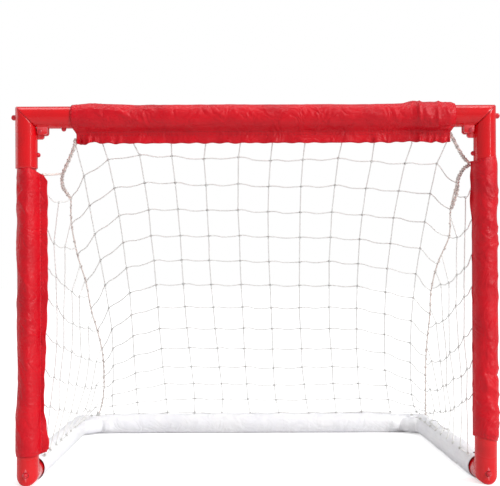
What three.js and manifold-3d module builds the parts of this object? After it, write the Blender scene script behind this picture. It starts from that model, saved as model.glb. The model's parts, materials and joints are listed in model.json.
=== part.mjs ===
// Small folding hockey goal net. Millimetres, +Z up, +X to the right as seen from the mouth, +Y to the rear.
// Six tubes plug into twelve mitred heads. The heads meet in pairs at six corners, and each pair has a
// hinge on the inside of the corner and a spring button that locks it, across the mitre.
// Origin: on the floor, under the middle of the frame.

import * as THREE from 'three';
import { mergeVertices } from 'three/addons/utils/BufferGeometryUtils.js';
import loadManifold from 'manifold-3d';

const wasm = await loadManifold();
wasm.setup();

// ---------------------------------------------------------------- driving dimensions

const WIDTH = 610;             // frame, over the outer faces of the heads
const HEIGHT = 480;
const DEPTH = 460;
const FIT = 0.3;               // clearance between pieces that touch

const HEAD_RADIUS = 14;        // every round section below is given across its flats
const HEAD_WALL = 1.7;
const HEAD_LEG = 79;           // outer corner to the open end of the socket
const MITRE_GAP = 0.4;
const STOP_FROM = 36.2;        // wall or ring in the socket that the tube butts on
const STOP_WALL = 3;
const STOP_RING_BORE = 9.5;

const TUBE_RADIUS = HEAD_RADIUS - HEAD_WALL - FIT;
const TUBE_WALL = 1.5;

const PIN_INSET = 32.6;        // hinge axis, from the outer face of either leg
const PIN_RADIUS = 1.8;
const PIN_PLAY = 0.3;
const PIN_HEAD_RADIUS = 3.1;
const PIN_HEAD_THICK = 1.3;
const PIN_TAIL = 0.5;          // peened end that stands out of the ear
const EAR_NOSE = 4;            // radius of the ears round the pin
const EAR_END = 41.8;          // ears' far end, from the outer corner
const EAR_CORNER = 3.5;
const KNUCKLE_THICK = 6;
const FORK_EAR_THICK = 4.5;

const LATCH_RADIUS = 3.5;      // button that locks a corner
const LATCH_PROUD = 5.3;
const LATCH_LEAF_LENGTH = 19;
const CATCH_FROM = 1.8;        // cross-piece of its leaf, from the button's axis
const CATCH_LENGTH = 5;
const CATCH_WIDTH = 11.2;
const TONGUE_WIDTH = 12;       // tongue of the fork head, which reaches across the mitre
const TONGUE_THICK = 2;
const TONGUE_FROM = 4.3;       // its slotted plate, from the other leg's outer face
const TONGUE_TOP = 20;
const TONGUE_ARM_FOOT = 4.6;

const SNAP_AT = 61.5;          // button that locks a tube in its head, from the outer corner
const SNAP_RADIUS = 3;
const SNAP_PROUD = 3.8;
const SNAP_LEAF_LENGTH = 22;
const BUTTON_PLAY = 0.4;
const LEAF_THICK = 0.8;
const LEAF_WIDTH = 5.6;
const LEAF_BEND_RADIUS = 2;
const LEAF_FREE_END = -4.2;    // height of the free leg's end over the tube's axis

const SLEEVE_WALL = 0.9;
const SLEEVE_FLOOR_GAP = 0.3;
const HEM_THICK = 1.8;
const CROSSBAR_SLEEVE = { from: HEAD_LEG - 7, to: WIDTH - HEAD_LEG + 26, hem: 32, folds: 1.4, waves: 15, bunch: WIDTH - 90 };
const LEFT_POST_SLEEVE = { from: 37, to: HEIGHT - HEAD_LEG, hem: 22.4, folds: 1.2, waves: 13, bunch: 70 };
const RIGHT_POST_SLEEVE = { from: 57, to: HEIGHT - HEAD_LEG + 11, hem: 18.6, folds: 1.9, waves: 13, bunch: HEIGHT - 158 };
const RAIL_SLEEVE_FROM = 44;
const EAR_ROOM = 1;            // room that the sleeves leave round the ears
const BUTTON_ROOM = 1.2;       // and round the buttons

const STRAND = 2.2;            // net twine
const NET_GAP = 0.4;
const BACK_COLUMNS = 13;
const BACK_ROWS = 13;
const BACK_SAG = 6;
const SIDE_ROWS = 9;
const NET_TOP_LEFT_INSET = 76; // edges of the back net under the crossbar, from the frame's outer faces
const NET_TOP_RIGHT_INSET = 57;

const SIDES = 16;              // facets of the round sections
const SMALL_SIDES = 10;
const TINY_SIDES = 8;
const ARC_STEPS = 2;           // half the facets of an arc in an outline

const RED = { color: 0xd3172a, roughness: 0.3, metalness: 0 };
const RED_METAL = { color: 0xc8182a, roughness: 0.28, metalness: 0.1 };
const RED_CLOTH = { color: 0xc9122a, roughness: 0.6, metalness: 0 };
const PALE_CLOTH = { color: 0xe9e8f2, roughness: 0.8, metalness: 0 };
const TWINE = { color: 0xdcdcd8, roughness: 0.9, metalness: 0 };
const STEEL = { color: 0xb9bbc0, roughness: 0.3, metalness: 1 };

// ---------------------------------------------------------------- worked-out sizes

const TUBE_FROM = STOP_FROM + STOP_WALL + FIT;
const SOCKET_RADIUS = HEAD_RADIUS - HEAD_WALL;
const TUBE_BORE = TUBE_RADIUS - TUBE_WALL;
const FORK_GAP = KNUCKLE_THICK / 2 + FIT;
const FORK_OUTER = FORK_GAP + FORK_EAR_THICK;
const EAR_TOP = PIN_INSET + EAR_NOSE;
const LATCH_HOLE = LATCH_RADIUS + BUTTON_PLAY;
const SNAP_HOLE = SNAP_RADIUS + BUTTON_PLAY;
const SLEEVE_BORE = HEAD_RADIUS + FIT;
const SLEEVE_RADIUS = SLEEVE_BORE + SLEEVE_WALL;
const FRONT = -DEPTH / 2;
const FRONT_AXIS = FRONT + HEAD_RADIUS;
const REAR_AXIS = DEPTH / 2 - HEAD_RADIUS;
const SIDE_AXIS = WIDTH / 2 - HEAD_RADIUS;
const TOP_AXIS = HEIGHT - HEAD_RADIUS;

// ---------------------------------------------------------------- solids

function merged(geometry) {
  geometry.deleteAttribute('normal');
  geometry.deleteAttribute('uv');
  const welded = mergeVertices(geometry, 1e-4);
  const index = welded.index.array;
  const kept = [];
  for (let i = 0; i < index.length; i += 3) {
    const [a, b, c] = [index[i], index[i + 1], index[i + 2]];
    if (a !== b && b !== c && c !== a) kept.push(a, b, c);
  }
  welded.setIndex(kept);
  return welded;
}

function signedVolume(position, index) {
  const a = new THREE.Vector3();
  const b = new THREE.Vector3();
  const c = new THREE.Vector3();
  let volume = 0;
  for (let i = 0; i < index.length; i += 3) {
    a.fromBufferAttribute(position, index[i]);
    b.fromBufferAttribute(position, index[i + 1]);
    c.fromBufferAttribute(position, index[i + 2]);
    volume += a.dot(b.cross(c)) / 6;
  }
  return volume;
}

function solid(geometry) {
  const welded = merged(geometry);
  const index = Uint32Array.from(welded.index.array);
  if (signedVolume(welded.attributes.position, index) < 0) index.reverse();
  const vertices = Float32Array.from(welded.attributes.position.array);
  return new wasm.Manifold(new wasm.Mesh({ numProp: 3, vertProperties: vertices, triVerts: index }));
}

function geometryOf(body) {
  const mesh = body.getMesh();
  const geometry = new THREE.BufferGeometry();
  geometry.setAttribute('position', new THREE.BufferAttribute(mesh.vertProperties, 3));
  geometry.setIndex(new THREE.BufferAttribute(mesh.triVerts, 1));
  geometry.computeVertexNormals();
  return geometry;
}

// A profile of [along, radius] pairs, turned round the X axis, with flats facing along Y and Z.
function turned(profile, sides = SIDES) {
  const toCorner = 1 / Math.cos(Math.PI / sides);
  const points = profile.map(([along, radius]) => new THREE.Vector2(radius * toCorner, along));
  const lathe = new THREE.LatheGeometry(points, sides, Math.PI / sides);
  return solid(lathe.rotateZ(-Math.PI / 2));
}

function rod(from, to, radius, sides = SIDES) {
  return turned([[from, 0], [from, radius], [to, radius], [to, 0]], sides);
}

function pipe(from, to, radius, bore, sides = SIDES) {
  return turned([[from, bore], [from, radius], [to, radius], [to, bore], [from, bore]], sides);
}

function block(low, high) {
  const size = new THREE.Vector3().subVectors(high, low);
  const middle = new THREE.Vector3().addVectors(low, high).multiplyScalar(0.5);
  return solid(new THREE.BoxGeometry(size.x, size.y, size.z).translate(middle.x, middle.y, middle.z));
}

function plate(shape, low, high) {
  const options = { depth: high - low, bevelEnabled: false, curveSegments: ARC_STEPS };
  return solid(new THREE.ExtrudeGeometry(shape, options).translate(0, 0, low));
}

// Turns a body that was made along X so that it runs along a direction, from a point.
function aimed(body, direction, origin) {
  const turn = new THREE.Quaternion().setFromUnitVectors(new THREE.Vector3(1, 0, 0), direction);
  const matrix = new THREE.Matrix4().compose(origin, turn, new THREE.Vector3(1, 1, 1));
  return body.transform(matrix.elements.slice());
}

// ---------------------------------------------------------------- corner heads
// A head lies with its leg along +X and its axis at Y = HEAD_RADIUS. The outer corner is the origin, the
// other leg of the corner runs along +Y, and the hinge axis is parallel to Z.

const X = new THREE.Vector3(1, 0, 0);
const Y = new THREE.Vector3(0, 1, 0);
const Z = new THREE.Vector3(0, 0, 1);
const onLeg = (along) => new THREE.Vector3(along, HEAD_RADIUS, 0);

function onAxis(body) {
  return body.translate(0, HEAD_RADIUS, 0);
}

function earShape() {
  const root = HEAD_RADIUS + SOCKET_RADIUS / 2;
  const shape = new THREE.Shape();
  shape.moveTo(PIN_INSET - EAR_NOSE, root);
  shape.lineTo(PIN_INSET - EAR_NOSE, PIN_INSET);
  shape.absarc(PIN_INSET, PIN_INSET, EAR_NOSE, Math.PI, Math.PI / 2, true);
  shape.lineTo(EAR_END - EAR_CORNER, EAR_TOP);
  shape.absarc(EAR_END - EAR_CORNER, EAR_TOP - EAR_CORNER, EAR_CORNER, Math.PI / 2, 0, true);
  shape.lineTo(EAR_END, root);
  shape.closePath();
  return shape;
}

function mitreCutter() {
  const reach = 3 * HEAD_RADIUS;
  const cutter = new THREE.BoxGeometry(2 * reach, 4 * reach, 2 * reach);
  return solid(cutter.translate(MITRE_GAP / 2 - reach, 0, 0).rotateZ(-Math.PI / 4));
}

function headShell(ears) {
  let body = onAxis(rod(-HEAD_RADIUS, HEAD_LEG, HEAD_RADIUS));
  for (const ear of ears) body = body.add(ear);
  const pinHole = rod(-2 * HEAD_RADIUS, 2 * HEAD_RADIUS, PIN_RADIUS + PIN_PLAY, TINY_SIDES);
  const snapHole = rod(HEAD_RADIUS / 2, 2 * HEAD_RADIUS, SNAP_HOLE, TINY_SIDES);
  return body
    .subtract(onAxis(rod(-2 * HEAD_RADIUS, HEAD_LEG + 1, SOCKET_RADIUS)))
    .subtract(aimed(pinHole, Z, new THREE.Vector3(PIN_INSET, PIN_INSET, 0)))
    .subtract(aimed(snapHole, Y, onLeg(SNAP_AT)));
}

// The tongue: an arm from the wall, and at its end a plate with an open slot that straddles the other
// head's button. The catch on the button's leaf lies behind the plate and holds it, and the corner locks.
// Pressing the button moves the catch inwards, and the plate can swing out over it.
function tongue() {
  const half = TONGUE_WIDTH / 2;
  const armTop = TONGUE_ARM_FOOT + TONGUE_THICK;
  const arm = block(
    new THREE.Vector3(TONGUE_FROM, TONGUE_ARM_FOOT, -half),
    new THREE.Vector3(STOP_FROM + STOP_WALL / 2, armTop, half),
  );
  const slotted = block(
    new THREE.Vector3(TONGUE_FROM, TONGUE_ARM_FOOT, -half),
    new THREE.Vector3(TONGUE_FROM + TONGUE_THICK, TONGUE_TOP, half),
  );
  const slot = block(
    new THREE.Vector3(0, HEAD_RADIUS, -LATCH_HOLE),
    new THREE.Vector3(2 * TONGUE_FROM, TONGUE_TOP + 1, LATCH_HOLE),
  );
  const slotFoot = onAxis(rod(0, 2 * TONGUE_FROM, LATCH_HOLE, SMALL_SIDES));
  return arm.add(slotted.subtract(slot).subtract(slotFoot));
}

// Fork head: two ears, the wall that the tube butts on, and the tongue.
function forkHead() {
  const ears = [
    plate(earShape(), FORK_GAP, FORK_OUTER),
    plate(earShape(), -FORK_OUTER, -FORK_GAP),
  ];
  const wall = onAxis(rod(STOP_FROM, STOP_FROM + STOP_WALL, SOCKET_RADIUS + HEAD_WALL / 2));
  return headShell(ears).subtract(mitreCutter()).add(wall).add(tongue());
}

// Knuckle head: one ear between the fork's two, and the hole that the corner's button stands out of.
function knuckleHead() {
  const ear = plate(earShape(), -KNUCKLE_THICK / 2, KNUCKLE_THICK / 2);
  const ring = onAxis(pipe(STOP_FROM, STOP_FROM + STOP_WALL, SOCKET_RADIUS + HEAD_WALL / 2, STOP_RING_BORE));
  const latchHole = rod(-1, HEAD_RADIUS / 2, LATCH_HOLE, SMALL_SIDES);
  return headShell([ear])
    .subtract(mitreCutter())
    .add(ring)
    .subtract(aimed(latchHole, Y, new THREE.Vector3(HEAD_RADIUS, 0, 0)));
}

function hingePin() {
  const tail = -FORK_OUTER - FIT - PIN_TAIL;
  const face = FORK_OUTER + FIT;
  const crown = face + PIN_HEAD_THICK;
  const profile = [
    [tail, 0],
    [tail, PIN_RADIUS],
    [face, PIN_RADIUS],
    [face, PIN_HEAD_RADIUS],
    [face + PIN_HEAD_THICK / 2, PIN_HEAD_RADIUS],
    [crown, PIN_HEAD_RADIUS * 0.55],
    [crown, 0],
  ];
  return aimed(turned(profile, TINY_SIDES), Z, new THREE.Vector3(PIN_INSET, PIN_INSET, 0));
}

// ---------------------------------------------------------------- spring buttons
// A domed button on a bent leaf spring. The button points along +Z from the axis of its leg, and the leaf
// lies along +X, bent back under itself.

function domed(tip, radius) {
  return [90, 45, 0].map((angle) => {
    const turn = THREE.MathUtils.degToRad(angle);
    return [tip - radius * (1 - Math.cos(turn)), radius * Math.sin(turn)];
  });
}

function leafShape(top, start, length) {
  const outer = LEAF_BEND_RADIUS + LEAF_THICK;
  const bend = new THREE.Vector2(length - outer, top - outer);
  const shape = new THREE.Shape();
  shape.moveTo(start, top);
  shape.lineTo(bend.x, top);
  shape.absarc(bend.x, bend.y, outer, Math.PI / 2, -Math.PI / 2, true);
  shape.lineTo(start, LEAF_FREE_END);
  shape.lineTo(start, LEAF_FREE_END + LEAF_THICK);
  shape.lineTo(bend.x, bend.y - LEAF_BEND_RADIUS);
  shape.absarc(bend.x, bend.y, LEAF_BEND_RADIUS, -Math.PI / 2, Math.PI / 2, false);
  shape.lineTo(start, top - LEAF_THICK);
  shape.closePath();
  return shape;
}

function springButton({ radius, proud, leafTop, leafLength, leafParts = [] }) {
  const half = LEAF_WIDTH / 2;
  const profile = [[leafTop - LEAF_THICK / 2, 0], [leafTop - LEAF_THICK / 2, radius]];
  profile.push(...domed(HEAD_RADIUS + proud, radius));
  const button = aimed(turned(profile, SMALL_SIDES), Z, new THREE.Vector3());
  const leaf = plate(leafShape(leafTop, -radius, leafLength), -half, half);
  return leafParts.reduce((body, piece) => body.add(piece), button.add(leaf.rotate([90, 0, 0])));
}

const SNAP_BUTTON = {
  radius: SNAP_RADIUS,
  proud: SNAP_PROUD,
  leafTop: Math.sqrt(TUBE_BORE ** 2 - (LEAF_WIDTH / 2) ** 2) - FIT,
  leafLength: SNAP_LEAF_LENGTH,
};

const CATCH_TOP = HEAD_RADIUS - TONGUE_FROM - TONGUE_THICK - FIT;

const LATCH_BUTTON = {
  radius: LATCH_RADIUS,
  proud: LATCH_PROUD,
  leafTop: CATCH_TOP,
  leafLength: LATCH_LEAF_LENGTH,
  leafParts: [block(
    new THREE.Vector3(CATCH_FROM, -CATCH_WIDTH / 2, CATCH_TOP - LEAF_THICK),
    new THREE.Vector3(CATCH_FROM + CATCH_LENGTH, CATCH_WIDTH / 2, CATCH_TOP),
  )],
};

// ---------------------------------------------------------------- members
// A member is a tube with a head on each end. It lies along +X, from one outer corner to the other.
// The start and end directions say which way its snap buttons point.

function tubeBody(length, startSnap, endSnap) {
  const hole = rod(HEAD_RADIUS / 2, 2 * HEAD_RADIUS, SNAP_HOLE, TINY_SIDES);
  return pipe(TUBE_FROM, length - TUBE_FROM, TUBE_RADIUS, TUBE_BORE)
    .subtract(aimed(hole, startSnap, new THREE.Vector3(SNAP_AT, 0, 0)))
    .subtract(aimed(hole, endSnap, new THREE.Vector3(length - SNAP_AT, 0, 0)));
}

// ---------------------------------------------------------------- sleeves

// A loose cloth tube: a plain bore and an outside that swells in slanting folds, closer and fuller
// where the cloth is bunched.
function foldedSleeve({ from, to, folds, waves, bunch }) {
  const rings = waves + 1;
  const bunchWidth = 0.16 * (to - from);
  const rows = [];
  for (let ring = 0; ring <= rings; ring += 1) {
    const share = ring / rings;
    const along = from + (to - from) * share;
    const fullness = 0.45 + Math.exp(-(((along - bunch) / bunchWidth) ** 2));
    const atEnd = ring === 0 || ring === rings ? 0.25 : 1;
    rows.push({ along, swell: folds * fullness * atEnd, phase: ring * 2.4 });
  }
  const toCorner = 1 / Math.cos(Math.PI / SIDES);
  const corner = (radius, step) => {
    const angle = (2 * Math.PI * (step + 0.5)) / SIDES;
    return [radius * toCorner * Math.cos(angle), radius * toCorner * Math.sin(angle)];
  };
  const points = [];
  for (const { along, swell, phase } of rows) {
    for (let step = 0; step < SIDES; step += 1) {
      const wave = 0.5 + 0.5 * Math.sin((2 * Math.PI * 2 * step) / SIDES + phase);
      points.push(along, ...corner(SLEEVE_RADIUS + swell * wave, step));
    }
  }
  for (const along of [from, to]) {
    for (let step = 0; step < SIDES; step += 1) points.push(along, ...corner(SLEEVE_BORE, step));
  }
  const index = [];
  const band = (lower, upper) => {
    for (let step = 0; step < SIDES; step += 1) {
      const next = (step + 1) % SIDES;
      index.push(lower + step, upper + next, lower + next, lower + step, upper + step, upper + next);
    }
  };
  for (let ring = 0; ring < rings; ring += 1) band(ring * SIDES, (ring + 1) * SIDES);
  const boreStart = rows.length * SIDES;
  band(rings * SIDES, boreStart + SIDES);
  band(boreStart + SIDES, boreStart);
  band(boreStart, 0);
  const geometry = new THREE.BufferGeometry();
  geometry.setAttribute('position', new THREE.BufferAttribute(Float32Array.from(points), 3));
  geometry.setIndex(index);
  return solid(geometry);
}

// The hem that the net is sewn to: a doubled strip along the sleeve, with a wavy edge.
function hem({ from, to, hem: reach }, direction) {
  const scallops = 12;
  const wave = 1.5;
  const shape = new THREE.Shape();
  shape.moveTo(from, SLEEVE_BORE + SLEEVE_WALL / 2);
  for (let step = 0; step <= scallops; step += 1) {
    const along = from + ((to - from) * step) / scallops;
    shape.lineTo(along, reach - (step % 2) * wave);
  }
  shape.lineTo(to, SLEEVE_BORE + SLEEVE_WALL / 2);
  shape.closePath();
  const strip = plate(shape, -HEM_THICK / 2, HEM_THICK / 2);
  const turn = new THREE.Matrix4().makeBasis(X, direction, new THREE.Vector3().crossVectors(X, direction));
  return strip.transform(turn.elements.slice());
}

function buttonRoom(at, direction, radius) {
  const room = rod(HEAD_RADIUS / 2, HEAD_RADIUS + 2 * BUTTON_ROOM + SNAP_PROUD, radius + BUTTON_ROOM, TINY_SIDES);
  return aimed(room, direction, new THREE.Vector3(at, 0, 0));
}

function earRoom(direction) {
  const low = new THREE.Vector3(0, 0, -FORK_OUTER - EAR_ROOM);
  const high = new THREE.Vector3(EAR_END + EAR_ROOM, 2 * HEAD_RADIUS, FORK_OUTER + EAR_ROOM);
  const turn = new THREE.Matrix4().makeBasis(X, direction, new THREE.Vector3().crossVectors(X, direction));
  return block(low, high).transform(turn.elements.slice());
}

function redSleeve(sleeve, hemDirection, length, startSnap, endSnap) {
  let body = foldedSleeve(sleeve).add(hem(sleeve, hemDirection));
  if (sleeve.from < SNAP_AT + SNAP_RADIUS) body = body.subtract(buttonRoom(SNAP_AT, startSnap, SNAP_RADIUS));
  if (sleeve.from < EAR_END) body = body.subtract(earRoom(startSnap));
  if (sleeve.to > length - SNAP_AT - SNAP_RADIUS) {
    body = body.subtract(buttonRoom(length - SNAP_AT, endSnap, SNAP_RADIUS));
  }
  return body;
}

// The pale sleeves are pressed open where the frame stands on the floor, so they are cut flat there.
function floorCutter(length) {
  const low = new THREE.Vector3(-length, -2 * HEAD_RADIUS, -3 * HEAD_RADIUS);
  const high = new THREE.Vector3(2 * length, 2 * HEAD_RADIUS, SLEEVE_FLOOR_GAP - HEAD_RADIUS);
  return block(low, high);
}

// Cuts a sleeve's end on the corner's mitre. The outer side of the corner is away from the direction.
function sleeveMitre(cornerAt, towards, inside) {
  const reach = 4 * HEAD_RADIUS;
  const cutter = new THREE.BoxGeometry(2 * reach, 4 * reach, 2 * reach).translate(MITRE_GAP / 2 - reach, 0, 0);
  const along = new THREE.Vector3(towards, 0, 0);
  const normal = along.clone().sub(inside).normalize();
  const across = new THREE.Vector3(0, 0, 1);
  const turn = new THREE.Matrix4().makeBasis(normal, new THREE.Vector3().crossVectors(across, normal), across);
  const place = new THREE.Vector3(cornerAt, 0, 0).addScaledVector(inside, -HEAD_RADIUS);
  return solid(cutter.applyMatrix4(turn).translate(place.x, place.y, place.z));
}

function mirroredStart(body, length) {
  return body.mirror([1, 0, 0]).translate(length, 0, 0);
}

function railSleeve(length, endInside) {
  return pipe(RAIL_SLEEVE_FROM, length + HEAD_RADIUS, SLEEVE_RADIUS, SLEEVE_BORE)
    .subtract(sleeveMitre(length, -1, endInside))
    .subtract(mirroredStart(earRoom(endInside), length))
    .subtract(buttonRoom(SNAP_AT, Z, SNAP_RADIUS))
    .subtract(buttonRoom(length - SNAP_AT, endInside, SNAP_RADIUS))
    .subtract(floorCutter(length));
}

function backBarSleeve(length, inside) {
  const outwards = inside.clone().negate();
  return pipe(-HEAD_RADIUS, length + HEAD_RADIUS, SLEEVE_RADIUS, SLEEVE_BORE)
    .subtract(sleeveMitre(0, 1, inside))
    .subtract(sleeveMitre(length, -1, inside))
    .subtract(earRoom(inside))
    .subtract(mirroredStart(earRoom(inside), length))
    .subtract(buttonRoom(SNAP_AT, inside, SNAP_RADIUS))
    .subtract(buttonRoom(length - SNAP_AT, inside, SNAP_RADIUS))
    .subtract(buttonRoom(HEAD_RADIUS, outwards, LATCH_RADIUS))
    .subtract(buttonRoom(length - HEAD_RADIUS, outwards, LATCH_RADIUS))
    .subtract(floorCutter(length));
}

// ---------------------------------------------------------------- nets
// A net is a lattice of knots. Each knot is a small block with four sides, in the order east, north,
// west, south. A strand joins a side of one knot to a side of another, and a side with no strand is closed.

const EAST = 0;
const NORTH = 1;
const WEST = 2;
const SOUTH = 3;
const KNOT_CORNERS = [[1, -1], [1, 1], [-1, 1], [-1, -1]];

function netGeometry(knots, strands, across, along) {
  const normal = new THREE.Vector3().crossVectors(across, along).normalize();
  const half = STRAND / 2;
  const points = [];
  for (const centre of knots) {
    for (const face of [1, -1]) {
      for (const [u, v] of KNOT_CORNERS) {
        const corner = centre.clone().addScaledVector(across, u * half).addScaledVector(along, v * half);
        corner.addScaledVector(normal, face * half);
        points.push(corner.x, corner.y, corner.z);
      }
    }
  }
  const index = [];
  const quad = (a, b, c, d) => index.push(a, b, c, a, c, d);
  const front = (knot, corner) => knot * 8 + (corner % 4);
  const back = (knot, corner) => knot * 8 + 4 + (corner % 4);
  const used = knots.map(() => [false, false, false, false]);
  knots.forEach((centre, knot) => {
    quad(front(knot, 0), front(knot, 1), front(knot, 2), front(knot, 3));
    quad(back(knot, 3), back(knot, 2), back(knot, 1), back(knot, 0));
  });
  for (const [a, sideA, b, sideB] of strands) {
    used[a][sideA] = true;
    used[b][sideB] = true;
    quad(front(a, sideA), front(b, sideB + 1), front(b, sideB), front(a, sideA + 1));
    quad(back(a, sideA + 1), back(b, sideB), back(b, sideB + 1), back(a, sideA));
    quad(back(a, sideA), back(b, sideB + 1), front(b, sideB + 1), front(a, sideA));
    quad(back(b, sideB), back(a, sideA + 1), front(a, sideA + 1), front(b, sideB));
  }
  knots.forEach((centre, knot) => {
    for (let side = 0; side < 4; side += 1) {
      if (used[knot][side]) continue;
      quad(front(knot, side), back(knot, side), back(knot, side + 1), front(knot, side + 1));
    }
  });
  const geometry = new THREE.BufferGeometry();
  geometry.setAttribute('position', new THREE.BufferAttribute(Float32Array.from(points), 3));
  geometry.setIndex(index);
  if (signedVolume(geometry.attributes.position, index) < 0) geometry.setIndex(index.reverse());
  geometry.computeVertexNormals();
  return geometry;
}

// The back net's mid line in the YZ plane: from under the crossbar's hem to the back bar's sleeve.
const netTop = new THREE.Vector3(0, FRONT_AXIS, TOP_AXIS - CROSSBAR_SLEEVE.hem - NET_GAP - STRAND);
const barAxis = new THREE.Vector3(0, REAR_AXIS, HEAD_RADIUS);
const slope = new THREE.Vector3().subVectors(netTop, barAxis).normalize();
const footReach = SLEEVE_RADIUS / Math.cos(Math.PI / SIDES) + NET_GAP + STRAND * Math.SQRT1_2;
const netFoot = barAxis.clone().addScaledVector(slope, footReach);
const netNormal = new THREE.Vector3().crossVectors(X, slope);
const footInset = Math.sqrt(footReach ** 2 - (netFoot.z - HEAD_RADIUS) ** 2);
const NET_FOOT_HALF = SIDE_AXIS - footInset - STRAND - 2 * NET_GAP;

// A point of the back net: share is 0 at the foot and 1 at the crossbar.
function backPoint(x, share) {
  const point = netFoot.clone().lerp(netTop, share);
  return point.addScaledVector(netNormal, BACK_SAG * Math.sin(Math.PI * share)).setX(x);
}

const seamX = (side, share) => {
  const inset = side < 0 ? NET_TOP_LEFT_INSET : NET_TOP_RIGHT_INSET;
  return side * THREE.MathUtils.lerp(NET_FOOT_HALF, WIDTH / 2 - inset, share);
};

function backNet() {
  const knots = [];
  const strands = [];
  const at = (column, row) => row * (BACK_COLUMNS + 1) + column;
  for (let row = 0; row <= BACK_ROWS; row += 1) {
    for (let column = 0; column <= BACK_COLUMNS; column += 1) {
      const share = row / BACK_ROWS;
      const x = THREE.MathUtils.lerp(seamX(-1, share), seamX(1, share), column / BACK_COLUMNS);
      knots.push(backPoint(x, share));
      if (column < BACK_COLUMNS) strands.push([at(column, row), EAST, at(column + 1, row), WEST]);
      if (row < BACK_ROWS) strands.push([at(column, row), NORTH, at(column, row + 1), SOUTH]);
    }
  }
  return netGeometry(knots, strands, X, slope);
}

// Where a row of the side net starts: at the rail for the foot, at the post's hem above it, and at the
// crossbar sleeve's corner for the top.
function frontPoint(side, row, hemReach) {
  const share = row / SIDE_ROWS;
  const seam = seamPoint(side, share);
  if (row === SIDE_ROWS) return seam;
  if (row === 0) return seam.setY(FRONT + RAIL_SLEEVE_FROM + STRAND);
  return new THREE.Vector3(side * (SIDE_AXIS - hemReach - NET_GAP - STRAND / 2), FRONT_AXIS, seam.z);
}

function seamPoint(side, share) {
  return backPoint(seamX(side, share) + side * (STRAND + 2 * NET_GAP), share);
}

function sideNet(side, hemReach) {
  const knots = [];
  const strands = [];
  const at = new Map();
  for (let row = 0; row <= SIDE_ROWS; row += 1) {
    const cells = SIDE_ROWS - row;
    for (let column = 0; column <= cells; column += 1) {
      const start = frontPoint(side, row, hemReach);
      const end = seamPoint(side, row / SIDE_ROWS);
      at.set(`${column},${row}`, knots.length);
      knots.push(start.lerp(end, cells === 0 ? 0 : column / cells));
    }
  }
  const knot = (column, row) => at.get(`${column},${row}`);
  for (let row = 0; row < SIDE_ROWS; row += 1) {
    for (let column = 0; column < SIDE_ROWS - row; column += 1) {
      strands.push([knot(column, row), EAST, knot(column + 1, row), WEST]);
      strands.push([knot(column, row), NORTH, knot(column, row + 1), SOUTH]);
    }
    strands.push([knot(SIDE_ROWS - row - 1, row + 1), EAST, knot(SIDE_ROWS - row, row), NORTH]);
  }
  return netGeometry(knots, strands, Y, Z);
}

// ---------------------------------------------------------------- assembly

const goal = new THREE.Group();
goal.name = 'hockey_goal';

function material(look) {
  return new THREE.MeshStandardMaterial({ ...look, flatShading: true });
}

function addMesh(parent, name, geometry, look) {
  const mesh = new THREE.Mesh(geometry, material(look));
  mesh.name = name;
  parent.add(mesh);
  return mesh;
}

function frameGroup(origin, alongX, alongY) {
  const group = new THREE.Group();
  const alongZ = new THREE.Vector3().crossVectors(alongX, alongY);
  group.quaternion.setFromRotationMatrix(new THREE.Matrix4().makeBasis(alongX, alongY, alongZ));
  group.position.copy(origin);
  goal.add(group);
  return group;
}

const shapes = {
  fork: geometryOf(forkHead()),
  knuckle: geometryOf(knuckleHead()),
  pin: geometryOf(hingePin()),
  latch: geometryOf(springButton(LATCH_BUTTON)),
  snap: geometryOf(springButton(SNAP_BUTTON)),
};

// A corner's group has the fork leg along its X and the knuckle leg along its Y. The latch button sits in
// the knuckle head and points out of the corner, the snap buttons point into it, and each leaf spring
// lies along its own leg.
function addCorner(name, origin, forkLeg, knuckleLeg, forkMember, knuckleMember) {
  const corner = frameGroup(origin, forkLeg, knuckleLeg);
  addMesh(corner, `${name}_fork_head`, shapes.fork, RED);
  const knuckle = addMesh(corner, `${name}_knuckle_head`, shapes.knuckle, RED);
  knuckle.quaternion.setFromRotationMatrix(new THREE.Matrix4().makeBasis(Y, X, Z.clone().negate()));
  addMesh(corner, `${name}_hinge_pin`, shapes.pin, STEEL);
  const latch = addMesh(corner, `${name}_latch_button`, shapes.latch, RED);
  latch.position.set(HEAD_RADIUS, HEAD_RADIUS, 0);
  latch.quaternion.setFromRotationMatrix(new THREE.Matrix4().makeBasis(Y, Z.clone().negate(), X.clone().negate()));
  const forkSnap = addMesh(corner, `${name}_${forkMember}_snap`, shapes.snap, RED_METAL);
  forkSnap.position.set(SNAP_AT, HEAD_RADIUS, 0);
  forkSnap.quaternion.setFromRotationMatrix(new THREE.Matrix4().makeBasis(X, Z.clone().negate(), Y));
  const knuckleSnap = addMesh(corner, `${name}_${knuckleMember}_snap`, shapes.snap, RED_METAL);
  knuckleSnap.position.set(HEAD_RADIUS, SNAP_AT, 0);
  knuckleSnap.quaternion.setFromRotationMatrix(new THREE.Matrix4().makeBasis(Y, Z, X));
}

const toRight = X.clone();
const toLeft = X.clone().negate();
const toRear = Y.clone();
const toFront = Y.clone().negate();
const upwards = Z.clone();
const downwards = Z.clone().negate();

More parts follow.
